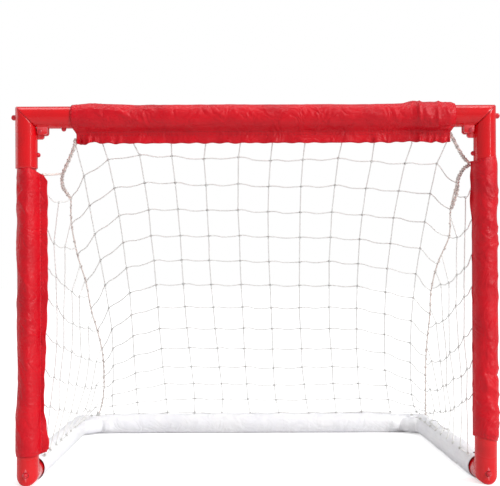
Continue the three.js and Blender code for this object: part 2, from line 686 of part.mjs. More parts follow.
for (const side of [-1, 1]) {
  const word = side < 0 ? 'left' : 'right';
  const inwards = side < 0 ? toRight : toLeft;
  const topCorner = new THREE.Vector3((side * WIDTH) / 2, FRONT_AXIS, HEIGHT);
  const frontCorner = new THREE.Vector3(side * SIDE_AXIS, FRONT, 0);
  const rearCorner = new THREE.Vector3((side * WIDTH) / 2, DEPTH / 2, HEAD_RADIUS);
  addCorner(`top_${word}`, topCorner, inwards, downwards, 'crossbar', 'post');
  addCorner(`front_${word}`, frontCorner, toRear, upwards, 'rail', 'post');
  addCorner(`rear_${word}`, rearCorner, toFront, inwards, 'rail', 'back_bar');

  // Posts lie along their X from the foot up, with Y to the rear; rails from the front, with Z up.
  const post = frameGroup(new THREE.Vector3(side * SIDE_AXIS, FRONT_AXIS, 0), upwards, toRear);
  const postInside = new THREE.Vector3(0, 0, side);
  const sleeve = side < 0 ? LEFT_POST_SLEEVE : RIGHT_POST_SLEEVE;
  addMesh(post, `${word}_post_tube`, geometryOf(tubeBody(HEIGHT, Y, postInside)), RED_METAL);
  addMesh(post, `${word}_post_sleeve`, geometryOf(redSleeve(sleeve, postInside, HEIGHT, Y, postInside)), RED_CLOTH);

  const rail = frameGroup(new THREE.Vector3(side * SIDE_AXIS, FRONT, HEAD_RADIUS), toRear, toLeft);
  const railInside = new THREE.Vector3(0, side, 0);
  addMesh(rail, `${word}_rail_tube`, geometryOf(tubeBody(DEPTH, Z, railInside)), RED_METAL);
  addMesh(rail, `${word}_rail_sleeve`, geometryOf(railSleeve(DEPTH, railInside)), PALE_CLOTH);

  addMesh(goal, `${word}_side_net`, sideNet(side, sleeve.hem), TWINE);
}

const crossbar = frameGroup(new THREE.Vector3(-WIDTH / 2, FRONT_AXIS, TOP_AXIS), toRight, toRear);
addMesh(crossbar, 'crossbar_tube', geometryOf(tubeBody(WIDTH, downwards, downwards)), RED_METAL);
addMesh(
  crossbar,
  'crossbar_sleeve',
  geometryOf(redSleeve(CROSSBAR_SLEEVE, downwards, WIDTH, downwards, downwards)),
  RED_CLOTH,
);

const backBar = frameGroup(new THREE.Vector3(-WIDTH / 2, REAR_AXIS, HEAD_RADIUS), toRight, toRear);
addMesh(backBar, 'back_bar_tube', geometryOf(tubeBody(WIDTH, toFront, toFront)), RED_METAL);
addMesh(backBar, 'back_bar_sleeve', geometryOf(backBarSleeve(WIDTH, toFront)), PALE_CLOTH);

addMesh(goal, 'back_net', backNet(), TWINE);

export default goal;
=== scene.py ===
import json
import random
from math import cos, pi, radians, sin, sqrt

import bmesh
import bpy
import numpy as np
from mathutils import Matrix, Vector, geometry

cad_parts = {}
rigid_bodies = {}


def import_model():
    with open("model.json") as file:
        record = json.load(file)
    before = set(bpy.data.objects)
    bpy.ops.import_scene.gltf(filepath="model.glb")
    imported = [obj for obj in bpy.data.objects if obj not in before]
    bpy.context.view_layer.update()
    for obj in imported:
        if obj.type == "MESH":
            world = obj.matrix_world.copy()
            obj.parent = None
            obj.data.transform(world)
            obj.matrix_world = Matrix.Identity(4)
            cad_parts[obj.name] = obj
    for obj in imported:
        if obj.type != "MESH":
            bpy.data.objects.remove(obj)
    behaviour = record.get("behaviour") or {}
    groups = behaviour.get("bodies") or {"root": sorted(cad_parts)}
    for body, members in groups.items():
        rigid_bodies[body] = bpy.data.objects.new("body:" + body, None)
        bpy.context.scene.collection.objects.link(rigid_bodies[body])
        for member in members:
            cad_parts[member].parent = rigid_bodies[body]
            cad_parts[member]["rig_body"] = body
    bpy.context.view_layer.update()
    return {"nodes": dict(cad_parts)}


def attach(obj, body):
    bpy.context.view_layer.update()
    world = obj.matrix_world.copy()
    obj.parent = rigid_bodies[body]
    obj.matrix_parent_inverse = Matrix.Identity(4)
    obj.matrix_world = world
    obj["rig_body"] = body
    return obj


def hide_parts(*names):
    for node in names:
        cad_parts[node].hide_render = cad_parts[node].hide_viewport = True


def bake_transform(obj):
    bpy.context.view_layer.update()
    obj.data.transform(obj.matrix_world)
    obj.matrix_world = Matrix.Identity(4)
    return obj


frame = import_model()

NODES = frame["nodes"]
MM = 0.001
TURN, QUARTER = 2 * pi, pi / 2

# Frame dimensions, in millimetres, as the CAD source has them.
WIDTH, HEIGHT, DEPTH = 610.0, 480.0, 460.0
HEAD_RADIUS, HEAD_WALL, HEAD_LEG, MITRE_GAP = 14.0, 1.7, 79.0, 0.4
SOCKET_RADIUS = HEAD_RADIUS - HEAD_WALL
STOP_FROM, STOP_WALL, STOP_RING_BORE = 36.2, 3.0, 9.5
PIN_INSET, PIN_RADIUS, PIN_HEAD_RADIUS, PIN_HEAD_THICK = 32.6, 1.8, 3.1, 1.3
EAR_NOSE, EAR_END, EAR_CORNER = 4.0, 41.8, 3.5
KNUCKLE_THICK, FORK_EAR_THICK, FIT = 6.0, 4.5, 0.3
FORK_GAP = KNUCKLE_THICK / 2 + FIT
FORK_OUTER = FORK_GAP + FORK_EAR_THICK
LATCH_RADIUS, LATCH_PROUD, LATCH_LEAF_LENGTH = 3.5, 5.3, 19.0
SNAP_AT, SNAP_RADIUS, SNAP_PROUD, SNAP_LEAF_LENGTH = 61.5, 3.0, 3.8, 22.0
BUTTON_PLAY = 0.4
CATCH_FROM, CATCH_TO, CATCH_HALF = 1.8, 6.8, 5.6
TONGUE_FROM, TONGUE_LOW, TONGUE_THICK, TONGUE_HALF = 4.3, 4.6, 2.0, 6.0
TUBE_BORE_RADIUS, LEAF_HALF = 10.5, 2.8
LEAF_THICK, LEAF_BEND, LEAF_FREE_END = 0.8, 2.0, -4.2
FRONT_AXIS, REAR_AXIS = -DEPTH / 2 + HEAD_RADIUS, DEPTH / 2 - HEAD_RADIUS
SIDE_AXIS, TOP_AXIS = WIDTH / 2 - HEAD_RADIUS, HEIGHT - HEAD_RADIUS

# The photograph's view. A pixel of it is turned into a place on the object with these.
IMAGE_WIDTH = 500.0
IMAGE_MIDDLE = (250.0, 243.0)
EYE = Vector((-27.0, -1472.0, 255.0))
FOCAL = 988.5
CENTRE_PIXEL = (234.9, 283.0)
ROLL = 0.004
SENSOR = 36

SUN_DIRECTION = (-0.68, 0.6, -0.6)
WORLD_LEVEL = 0.42
FLOOR_GLOW = 0.58


def at_depth(px, py, y):
    """The point seen at a pixel, at a distance y behind the frame's middle."""
    dx, dy = px - CENTRE_PIXEL[0], py - CENTRE_PIXEL[1]
    return EYE + Vector(((dx - ROLL * dy) / FOCAL, 1.0, -(dy + ROLL * dx) / FOCAL)) * (y - EYE.y)


def add_object(name, data, *materials):
    made = bpy.data.objects.new(name, data)
    bpy.context.scene.collection.objects.link(made)
    for material in materials:
        data.materials.append(material)
    return made


def make_camera():
    data = bpy.data.cameras.new("photo_camera")
    camera = add_object("photo_camera", data)
    camera.location = EYE * MM
    camera.rotation_euler = (radians(90), ROLL, 0)
    data.sensor_width = SENSOR
    data.lens = FOCAL * SENSOR / IMAGE_WIDTH
    data.shift_x = (IMAGE_MIDDLE[0] - CENTRE_PIXEL[0]) / IMAGE_WIDTH
    data.shift_y = (CENTRE_PIXEL[1] - IMAGE_MIDDLE[1]) / IMAGE_WIDTH
    data.clip_start, data.clip_end = 0.05, 60
    bpy.context.scene.camera = camera


def add_lamp(name, kind, direction, place=(0, 0, 0), **settings):
    lamp = add_object(name, bpy.data.lights.new(name, kind))
    for key, value in settings.items():
        setattr(lamp.data, key, value)
    lamp.location = place
    lamp.rotation_mode = "QUATERNION"
    lamp.rotation_quaternion = Vector(direction).to_track_quat("-Z", "Y")


def softbox(name, place, target, size, power):
    add_lamp(name, "AREA", Vector(target) - Vector(place), place,
             shape="RECTANGLE", size=size[0], size_y=size[1], energy=power)


def make_lights():
    add_lamp("broad_light", "SUN", SUN_DIRECTION, energy=2.1, angle=radians(32))
    softbox("side_strip", (1.75, -1.65, 0.55), (0.1, -0.2, 0.3), (0.09, 1.7), 5.0)
    softbox("overhead", (0, -0.02, 1.88), (0, -0.2, 0.45), (1.7, 0.62), 8.5)
    softbox("left_fill", (-1.7, 0.35, 0.9), (0.2, 0, 0.1), (1.2, 1.2), 5.5)
    # the world is white to the camera and dimmer as a light
    world = bpy.data.worlds.new("studio")
    bpy.context.scene.world = world
    world.use_nodes = True
    tree = world.node_tree
    rays = add_node(tree, "LightPath").outputs
    seen = add_node(tree, "Math", {0: rays["Is Camera Ray"], 1: rays["Is Transmission Ray"]}, operation="MAXIMUM")
    level = add_node(tree, "MapRange", {"Value": seen.outputs[0], "To Min": WORLD_LEVEL, "To Max": 1.0})
    back = tree.nodes["Background"].inputs
    feed(tree, back["Strength"], level.outputs[0])
    feed(tree, back["Color"], (1, 1, 1, 1))


def make_floor():
    """A pale floor that is white to the camera where no shadow lies."""
    half = 40.0
    mesh = bpy.data.meshes.new("floor")
    mesh.from_pydata([(-half, -half, 0), (half, -half, 0), (half, half, 0), (-half, half, 0)], [], [(0, 1, 2, 3)])
    g = Graph("pale_floor", (0.8, 0.8, 0.805), 0.8, 0.1, Emission_Color=(1, 1, 1, 1))
    g.link(g.math("MULTIPLY", g.node("LightPath").outputs["Is Camera Ray"], FLOOR_GLOW), "Emission Strength")
    add_object("floor", mesh, g.material)


# ---------------------------------------------------------------- materials

def feed(tree, socket, value):
    if isinstance(value, bpy.types.NodeSocket):
        tree.links.new(value, socket)
    else:
        socket.default_value = value


def add_node(tree, kind, inputs=None, **settings):
    made = tree.nodes.new("ShaderNode" + kind)
    for key, value in settings.items():
        setattr(made, key, value)
    for key, value in (inputs or {}).items():
        feed(tree, made.inputs[key], value)
    return made


class Graph:
    """A material with one surface shader and short calls for the nodes round it."""

    def __init__(self, name, colour, roughness, specular=0.5, **constants):
        self.material = bpy.data.materials.new(name)
        self.material.use_nodes = True
        self.tree = self.material.node_tree
        self.shader = self.tree.nodes["Principled BSDF"].inputs
        constants.update(Base_Color=(*colour, 1), Roughness=roughness, Specular_IOR_Level=specular)
        for key, value in constants.items():
            self.shader[key.replace("_", " ")].default_value = value

    def node(self, kind, inputs=None, **settings):
        return add_node(self.tree, kind, inputs, **settings)

    def link(self, socket, key):
        self.tree.links.new(socket, self.shader[key])

    def math(self, operation, *values):
        return self.node("Math", dict(enumerate(values)), operation=operation).outputs[0]

    def place(self, source="Object", scale=(1, 1, 1)):
        coords = self.node("TexCoord").outputs[source]
        return self.node("Mapping", {"Vector": coords, "Scale": scale}).outputs[0]

    def noise(self, scale, detail, vector, distortion=0.0):
        inputs = {"Scale": scale, "Detail": detail, "Distortion": distortion, "Vector": vector}
        return self.node("TexNoise", inputs).outputs["Fac"]

    def ramp(self, value, low, high):
        """From low to high, which are pairs of a value and what it becomes."""
        inputs = {"Value": value, "From Min": low[0], "From Max": high[0], "To Min": low[1], "To Max": high[1]}
        return self.node("MapRange", inputs).outputs[0]

    def share(self, value, low, high):
        return self.ramp(value, (low, 0), (high, 1))

    def mix(self, share, a, b):
        made = self.node("Mix", data_type="RGBA")
        for key, value in ((0, share), (6, a), (7, b)):
            feed(self.tree, made.inputs[key], (*value, 1) if isinstance(value, tuple) else value)
        return made.outputs[2]

    def bump(self, height, distance, strength, after=None):
        inputs = {"Height": height, "Distance": distance, "Strength": strength}
        if after is not None:
            inputs["Normal"] = after
        return self.node("Bump", inputs).outputs[0]

    def wave(self, kind, socket, rate, shift=0.0):
        return self.math(kind, self.math("ADD", self.math("MULTIPLY", socket, rate), shift))


def srgb(r, g, b):
    def linear(value):
        value /= 255
        return value / 12.92 if value <= 0.04045 else ((value + 0.055) / 1.055) ** 2.4
    return tuple(linear(value) for value in (r, g, b))


def dimmed(colour, share):
    return tuple(channel * share for channel in colour)


def moulded_plastic(name, colour, wear_and_highlight, roughness):
    """Glossy injection-moulded plastic: faint flow streaks, fine orange peel, and sharp edges painted paler as a
    highlight, in random patches.
    """
    g = Graph(name, colour, roughness, 0.25, Coat_Weight=0.5, Coat_Roughness=0.07)
    streaks = g.noise(38, 3, g.place(scale=(1, 1, 0.35)), 0.4)
    flecks = g.noise(900, 2, g.place())
    body = g.mix(g.share(streaks, 0.35, 0.7), colour, dimmed(colour, 0.86))
    edges = g.node("NewGeometry").outputs["Pointiness"]
    # painted highlight: sharp edges and bevels are coloured a paler pink, patchy with the flecks
    painted_edge_highlight = g.math("MULTIPLY", g.share(edges, 0.53, 0.6), g.ramp(flecks, (0.4, 0.35), (0.6, 1)))
    g.link(g.mix(painted_edge_highlight, body, wear_and_highlight), "Base Color")
    g.link(g.ramp(streaks, (0.3, roughness - 0.05), (0.75, roughness + 0.08)), "Roughness")
    peel = g.bump(g.noise(260, 2, g.place()), 0.00006, 0.5)
    g.link(g.bump(flecks, 0.00002, 0.35, peel), "Normal")
    return g.material


def painted_metal(name, colour):
    """The tubes' red enamel over steel."""
    g = Graph(name, colour, 0.28, Coat_Weight=0.4, Coat_Roughness=0.08)
    runs = g.noise(60, 3, g.place(), 0.3)
    g.link(g.mix(g.share(runs, 0.35, 0.7), colour, dimmed(colour, 0.82)), "Base Color")
    g.link(g.ramp(runs, (0.3, 0.2), (0.75, 0.38)), "Roughness")
    g.link(g.bump(g.noise(420, 2, g.place()), 0.00004, 0.5), "Normal")
    return g.material


def pin_steel(name, enamel):
    """Steel pins in red enamel, which is rubbed down to the metal in spots and on the rims."""
    g = Graph(name, enamel, 0.25, Coat_Weight=0.3, Coat_Roughness=0.06)
    spots = g.noise(900, 4, g.place())
    rims = g.share(g.node("NewGeometry").outputs["Pointiness"], 0.6, 0.72)
    wear_and_highlight = g.math("MULTIPLY", rims, g.share(spots, 0.45, 0.6))
    g.link(g.mix(wear_and_highlight, enamel, srgb(196, 192, 194)), "Base Color")
    g.link(wear_and_highlight, "Metallic")
    g.link(g.ramp(spots, (0.3, 0.18), (0.7, 0.4)), "Roughness")
    g.link(g.bump(g.noise(2200, 3, g.place(scale=(1, 1, 0.1))), 0.00003, 0.5), "Normal")
    return g.material


def nylon(name, colour, deep, sheen, roughness, pitch=0.0011):
    """Satin nylon: a plain weave on UVs in metres, soft crumples between the modelled folds, and deeper
    dye in places."""
    g = Graph(name, colour, roughness, 0.3, Sheen_Weight=sheen, Sheen_Roughness=0.4,
              Sheen_Tint=(*[min(1.0, c + 0.45) for c in colour], 1))
    place = g.place()
    cloudy = g.noise(22, 5, place, 0.5)
    threads = g.node("SeparateXYZ", {"Vector": g.place("UV")}).outputs
    weave = g.math("MULTIPLY", g.wave("SINE", threads["X"], TURN / pitch),
                   g.wave("SINE", threads["Y"], TURN / pitch, 1.2))
    dyed = g.mix(g.share(cloudy, 0.38, 0.66), colour, deep)
    thread = g.mix(g.share(weave, -1.0, 1.0), dimmed(colour, 0.93), colour)
    g.link(g.mix(0.35, dyed, thread), "Base Color")
    g.link(g.ramp(g.noise(70, 4, place), (0.3, roughness - 0.07), (0.7, roughness + 0.1)), "Roughness")
    crease = g.math("ABSOLUTE", g.math("SUBTRACT", g.noise(34, 2, place, 1.4), 0.5))
    crumple = g.bump(g.noise(120, 4, place, 1.2), 0.0014, 0.45, g.bump(crease, 0.009, 0.45))
    g.link(g.bump(weave, 0.00008, 0.6, crumple), "Normal")
    return g.material


def laid_twine(name, colour, shadow, pitch, plies, depth):
    """Twisted twine: its plies wind round it, on UVs of length in metres and turn from 0 to 1."""
    g = Graph(name, colour, 0.82, 0.2, Sheen_Weight=0.15, Sheen_Roughness=0.6,
              Subsurface_Weight=0.75, Subsurface_Radius=(1.0, 1.0, 1.0), Subsurface_Scale=0.0025)
    split = g.node("SeparateXYZ", {"Vector": g.place("UV")}).outputs
    ply = g.wave("COSINE", split["X"], TURN / pitch, g.math("MULTIPLY", split["Y"], TURN * plies))
    fuzz = g.noise(1500, 3, g.place())
    groove = g.mix(g.share(ply, -1.0, -0.1), shadow, colour)
    g.link(g.mix(g.ramp(fuzz, (0.35, 0), (0.75, 0.5)), groove, shadow), "Base Color")
    g.link(g.bump(fuzz, 0.0001, 0.5, g.bump(ply, depth, 0.8)), "Normal")
    return g.material


# each plastic's second colour is the pale pink of a painted highlight on its edges
RED = moulded_plastic("red_plastic", srgb(222, 4, 18), srgb(240, 120, 128), 0.26)
DARK_RED = moulded_plastic("button_plastic", srgb(212, 10, 32), srgb(225, 100, 110), 0.32)
TUBE_RED = painted_metal("tube_enamel", srgb(222, 12, 30))
STEEL = pin_steel("pin_steel", srgb(196, 40, 56))
RED_NYLON = nylon("red_nylon", srgb(218, 6, 28), srgb(184, 5, 26), 0.03, 0.33)
PALE_NYLON = nylon("pale_nylon", srgb(253, 253, 255), srgb(246, 246, 252), 0.1, 0.6)
STITCH = laid_twine("stitch_thread", srgb(206, 14, 36), srgb(110, 8, 22), 0.0008, 2, 0.00004)
TWINE = laid_twine("net_twine", srgb(241, 241, 238), srgb(228, 227, 223), 0.006, 3, 0.00022)
LASHING = laid_twine("lashing_cord", srgb(246, 238, 232), srgb(220, 196, 188), 0.007, 3, 0.00035)


# ---------------------------------------------------------------- mesh helpers

def circle(count):
    return [TURN * i / count for i in range(count)]


class Builder:
    """Collects points in millimetres and faces, then makes a mesh in metres."""

    def __init__(self):
        self.points, self.faces, self.uvs, self.slots = [], [], [], []

    def face(self, corners, uv=None, slot=0):
        self.faces.append(corners)
        self.uvs.extend(uv if uv else [(0.0, 0.0)] * len(corners))
        self.slots.append(slot)

    def bridge(self, a, b, v0=0.0, v1=1.0, slot=0, closed=True):
        count = len(a)
        for i in range(count if closed else count - 1):
            j = (i + 1) % count
            u0, u1 = i / count, (i + 1) / count
            self.face((a[i], a[j], b[j], b[i]), [(v0, u0), (v0, u1), (v1, u1), (v1, u0)], slot)

    def loft(self, outlines, slot=0, lengths=None, capped=True, closed=True):
        """Faces from each outline to the next, with caps on the first and the last."""
        rings = []
        for points in outlines:
            start = len(self.points)
            self.points.extend(tuple(p) for p in points)
            rings.append(list(range(start, len(self.points))))
        for i, (a, b) in enumerate(zip(rings, rings[1:])):
            self.bridge(a, b, *(lengths[i:i + 2] if lengths else (0.0, 1.0)), slot, closed)
        if capped:
            self.face(tuple(reversed(rings[0])), None, slot)
            self.face(tuple(rings[-1]), None, slot)
        return rings

    def mesh(self, name, smooth=40):
        mesh = bpy.data.meshes.new(name)
        mesh.from_pydata([tuple(c * MM for c in p) for p in self.points], [], self.faces)
        mesh.uv_layers.new(name="UVMap").data.foreach_set("uv", [c for uv in self.uvs for c in uv])
        mesh.polygons.foreach_set("material_index", self.slots)
        bm = bmesh.new()
        bm.from_mesh(mesh)
        bmesh.ops.recalc_face_normals(bm, faces=bm.faces)
        bmesh.ops.delete(bm, geom=[v for v in bm.verts if not v.link_faces], context="VERTS")
        bm.to_mesh(mesh)
        bm.free()
        mesh.shade_smooth()
        if smooth < 180:
            mesh.set_sharp_from_angle(angle=radians(smooth))
        mesh.update()
        return mesh


def joined(name, *meshes):
    bm = bmesh.new()
    for mesh in meshes:
        bm.from_mesh(mesh)
    made = bpy.data.meshes.new(name)
    bm.to_mesh(made)
    bm.free()
    made.materials.clear()
    return made


def cut(mesh, cutters, name):
    """The mesh with these meshes taken out of it."""
    body = add_object(name, mesh)
    helpers = [add_object("cutter", cutter) for cutter in cutters]
    for helper in helpers:
        step = body.modifiers.new("cut", "BOOLEAN")
        step.operation, step.object, step.solver = "DIFFERENCE", helper, "EXACT"
    made = bpy.data.meshes.new_from_object(body.evaluated_get(bpy.context.evaluated_depsgraph_get()))
    for helper in helpers + [body]:
        bpy.data.objects.remove(helper)
    made.name = name
    made.shade_smooth()
    made.set_sharp_from_angle(angle=radians(35))
    return made


def add_tube(b, path, radius, sides=8, slot=0, taper=1.0):
    """A round tube along a path, with UVs of length in metres and turn. taper is its ends' share of the radius."""
    side = (path[1] - path[0]).normalized().orthogonal().normalized()
    outlines, lengths, length, last = [], [], 0.0, len(path) - 1
    for i, point in enumerate(path):
        ahead = (path[min(i + 1, last)] - path[max(i - 1, 0)]).normalized()
        side = (side - ahead * side.dot(ahead)).normalized()
        other = ahead.cross(side)
        if i:
            length += (point - path[i - 1]).length
        size = radius * (taper if i in (0, last) else 1.0)
        outlines.append([point + (side * cos(t) + other * sin(t)) * size for t in circle(sides)])
        lengths.append(length * MM)
    b.loft(outlines, slot, lengths)


def smooth_path(points, steps):
    """A smooth curve through the points."""
    points = [Vector(p) for p in points]
    padded = [points[0] * 2 - points[1]] + points + [points[-1] * 2 - points[-2]]
    path = []
    for a, b, c, d in zip(padded, padded[1:], padded[2:], padded[3:]):
        for t in (step / steps for step in range(steps)):
            path.append(0.5 * ((2 * b) + (c - a) * t + (2 * a - 5 * b + 4 * c - d) * t ** 2
                               + (3 * b - a - 3 * c + d) * t ** 3))
    path.append(points[-1])
    return path


# ---------------------------------------------------------------- corner heads
# A head lies with its leg along +X and its axis at Y = HEAD_RADIUS, as in the CAD source.

HEAD_SIDES = 72
SHELL_RINGS = 24
SHARP = 35               # degrees


def leg_ring(radius, place, sides=HEAD_SIDES):
    """A ring about the leg's axis. place gives where each of its points is along the leg, from its y."""
    points = []
    for t in circle(sides):
        y = HEAD_RADIUS + radius * sin(t)
        points.append((place(y), y, radius * cos(t)))
    return points


def shell_mesh():
    """The hollow leg: a chamfered mitre, a rolled lip at the open end, and a bore."""
    gap = MITRE_GAP / 2 * sqrt(2)
    lip_from = HEAD_LEG - 0.7

    def mitred(radius, past=0.0, share=0.0):
        """A ring past the mitre, and a share of the way from there to the lip."""
        return leg_ring(radius, lambda y: y + gap + past + (lip_from - (y + gap + past)) * share)

    outlines = [mitred(SOCKET_RADIUS), mitred(HEAD_RADIUS - 0.65), mitred(HEAD_RADIUS - 0.2, 0.28)]
    outlines += [mitred(HEAD_RADIUS, 0.9, k / SHELL_RINGS) for k in range(SHELL_RINGS)]
    outlines += [leg_ring(radius, lambda y: along) for radius, along in (
        (HEAD_RADIUS, lip_from), (HEAD_RADIUS - 0.2, HEAD_LEG - 0.2), (HEAD_RADIUS - 0.6, HEAD_LEG),
        (SOCKET_RADIUS + 0.35, HEAD_LEG), (SOCKET_RADIUS, HEAD_LEG - 0.4), (SOCKET_RADIUS, SNAP_AT + 8),
        (SOCKET_RADIUS, SNAP_AT - 8), (SOCKET_RADIUS, STOP_FROM))]
    b = Builder()
    rings = b.loft(outlines, capped=False)
    b.bridge(rings[-1], rings[0])
    return b.mesh("shell", SHARP)


def quarter_arc(x, y, radius, start, steps):
    turns = [start - QUARTER * step / steps for step in range(steps + 1)]
    return [(x + radius * cos(turn), y + radius * sin(turn)) for turn in turns]


def ear_outline(inset):
    root = 20.0
    return [(PIN_INSET - EAR_NOSE + inset, root),
            *quarter_arc(PIN_INSET, PIN_INSET, EAR_NOSE - inset, pi, 12),
            *quarter_arc(EAR_END - EAR_CORNER, PIN_INSET + EAR_NOSE - EAR_CORNER, EAR_CORNER - inset, QUARTER, 10),
            (EAR_END - inset, root)]


def add_ear(b, low, high):
    """An ear with rounded edges, and a small fillet where it grows out of the leg."""
    edge, fillet = 0.55, 1.8
    levels = [(low, edge), (low + edge * 0.35, edge * 0.3), (low + edge, 0.0),
              (high - edge, 0.0), (high - edge * 0.35, edge * 0.3), (high, edge)]
    b.loft([[(x, y, z) for x, y in ear_outline(inset)] for z, inset in levels])
    for face_z, outwards in ((low, -1), (high, 1)):
        if abs(face_z) < FORK_GAP + 0.1 and low * high > 0:
            continue                     # the knuckle's ear fits here
        rows = []
        for turn in (QUARTER * step / 5 for step in range(6)):
            rise, out = fillet * (1 - sin(turn)), fillet * (1 - cos(turn))
            z = face_z + outwards * out
            root = HEAD_RADIUS + sqrt(max(HEAD_RADIUS ** 2 - z * z, 1.0)) - 0.25
            rows.append([(x, root + rise, z) for x in np.linspace(PIN_INSET - EAR_NOSE + 0.3, EAR_END - 0.3, 8)])
        b.loft(rows, capped=False, closed=False)


def add_block(b, low, high):
    """A block with its edges eased."""
    e = 0.25

    def outline(x, inset):
        y0, y1, z0, z1 = low[1] + inset, high[1] - inset, low[2] + inset, high[2] - inset
        return [(x, y0 + e, z0), (x, y1 - e, z0), (x, y1, z0 + e), (x, y1, z1 - e),
                (x, y1 - e, z1), (x, y0 + e, z1), (x, y0, z1 - e), (x, y0, z0 + e)]
    b.loft([outline(low[0], e), outline(low[0] + e, 0), outline(high[0] - e, 0), outline(high[0], e)])


def add_stop(b, inner):
    """The wall or ring that the tube butts on."""
    far = STOP_FROM + STOP_WALL
    outer = SOCKET_RADIUS + 0.4
    corners = ((inner, STOP_FROM), (outer, STOP_FROM), (outer, far), (inner, far))
    rings = b.loft([leg_ring(radius, lambda y: along, 48) for radius, along in corners], capped=False)
    b.bridge(rings[-1], rings[0])


def bore_mesh(x, low, high, radius):
    b = Builder()
    add_tube(b, [Vector((x, low, 0)), Vector((x, high, 0))], radius + BUTTON_PLAY, 40)
    return b.mesh("bore")


def head_meshes():
    """The two heads of a corner: the fork, with the latch's tongue, and the knuckle."""
    snap_hole = (SNAP_AT, 20.0, 40.0, SNAP_RADIUS)
    latch_hole = (HEAD_RADIUS, -2.0, 7.0, LATCH_RADIUS)
    slot_half, slot_foot, tongue_tip, overlap = 3.9, 10.1, 20.0, 0.5
    fork_shell = cut(shell_mesh(), [bore_mesh(*snap_hole)], "fork_shell")
    knuckle_shell = cut(shell_mesh(), [bore_mesh(*snap_hole), bore_mesh(*latch_hole)], "knuckle_shell")

    fork = Builder()
    add_ear(fork, FORK_GAP, FORK_OUTER)
    add_ear(fork, -FORK_OUTER, -FORK_GAP)
    add_stop(fork, 0.3)
    # the tongue: an arm, and a plate across it with a slot that is open at the end
    plate = TONGUE_FROM + TONGUE_THICK
    add_block(fork, (TONGUE_FROM, TONGUE_LOW, -TONGUE_HALF),
              (STOP_FROM + 1.5, TONGUE_LOW + TONGUE_THICK, TONGUE_HALF))
    for side in (-1, 1):
        near, far = sorted((side * slot_half, side * TONGUE_HALF))
        add_block(fork, (TONGUE_FROM, TONGUE_LOW, near), (plate, tongue_tip, far))
    foot_half = slot_half + overlap
    add_block(fork, (TONGUE_FROM, TONGUE_LOW, -foot_half), (plate, slot_foot, foot_half))

    knuckle = Builder()
    add_ear(knuckle, -KNUCKLE_THICK / 2, KNUCKLE_THICK / 2)
    add_stop(knuckle, STOP_RING_BORE)
    return (joined("fork_head", fork_shell, fork.mesh("fork_parts", SHARP)),
            joined("knuckle_head", knuckle_shell, knuckle.mesh("knuckle_parts", SHARP)))


def lathe(b, profile, sides, centre=(0, 0)):
    """A solid of revolution along Z, from pairs of a radius and a height."""
    b.loft([[(centre[0] + max(radius, 0.02) * cos(t), centre[1] + max(radius, 0.02) * sin(t), height)
             for t in circle(sides)] for radius, height in profile])


def pin_mesh():
    """A riveted pin: a low domed head on one face and a peened tail on the other."""
    face = FORK_OUTER + FIT
    b = Builder()
    profile = [(0.6, -face - 0.55), (1.5, -face - 0.45), (2.1, -face - 0.1), (PIN_RADIUS, -face + 0.1),
               (PIN_RADIUS, face), (PIN_HEAD_RADIUS - 0.2, face), (PIN_HEAD_RADIUS, face + 0.25),
               (PIN_HEAD_RADIUS - 0.05, face + 0.55)]
    for turn in (QUARTER * step / 6 for step in range(1, 7)):
        profile.append((PIN_HEAD_RADIUS * cos(turn), face + 0.55 + (PIN_HEAD_THICK - 0.55) * sin(turn)))
    lathe(b, profile, 40, (PIN_INSET, PIN_INSET))
    return b.mesh("hinge_pin", 30)


def add_leaf(b, top, start, length):
    """The bent leaf spring under a button, along +X."""
    half = LEAF_THICK / 2
    outer = LEAF_BEND + LEAF_THICK
    x0, z0 = length - outer, top - outer
    path = [(start, top - half)]
    for turn in (QUARTER - pi * step / 14 for step in range(15)):
        path.append((x0 + (LEAF_BEND + half) * cos(turn), z0 + (LEAF_BEND + half) * sin(turn)))
    path.append((start, LEAF_FREE_END + half))
    outlines = []
    for i, (x, z) in enumerate(path):
        ahead, behind = path[min(i + 1, len(path) - 1)], path[max(i - 1, 0)]
        d = Vector((ahead[0] - behind[0], ahead[1] - behind[1])).normalized()
        n = Vector((-d.y, d.x)) * LEAF_THICK / 2
        outlines.append([(x + n.x, -LEAF_HALF, z + n.y), (x + n.x, LEAF_HALF, z + n.y),
                         (x - n.x, LEAF_HALF, z - n.y), (x - n.x, -LEAF_HALF, z - n.y)])
    b.loft(outlines)


def button_mesh(name, radius, proud, leaf_top, leaf_length, catch=False):
    tip, dome = HEAD_RADIUS + proud, radius * 0.95
    profile = [(radius, leaf_top - 0.4), (radius, tip - dome)]
    for turn in (QUARTER * step / 9 for step in range(1, 10)):
        profile.append((radius * cos(turn), tip - dome * (1 - sin(turn))))
    b = Builder()
    lathe(b, profile, 36)
    add_leaf(b, leaf_top, -radius, leaf_length)
    if catch:
        add_block(b, (CATCH_FROM, -CATCH_HALF, leaf_top - LEAF_THICK), (CATCH_TO, CATCH_HALF, leaf_top))
    return b.mesh(name)


def basis(x, y, z, at=(0, 0, 0)):
    """The matrix of a piece whose axes point these ways, at a place in millimetres."""
    return Matrix([(x[i], y[i], z[i], at[i] * MM) for i in range(3)] + [(0, 0, 0, 1)])


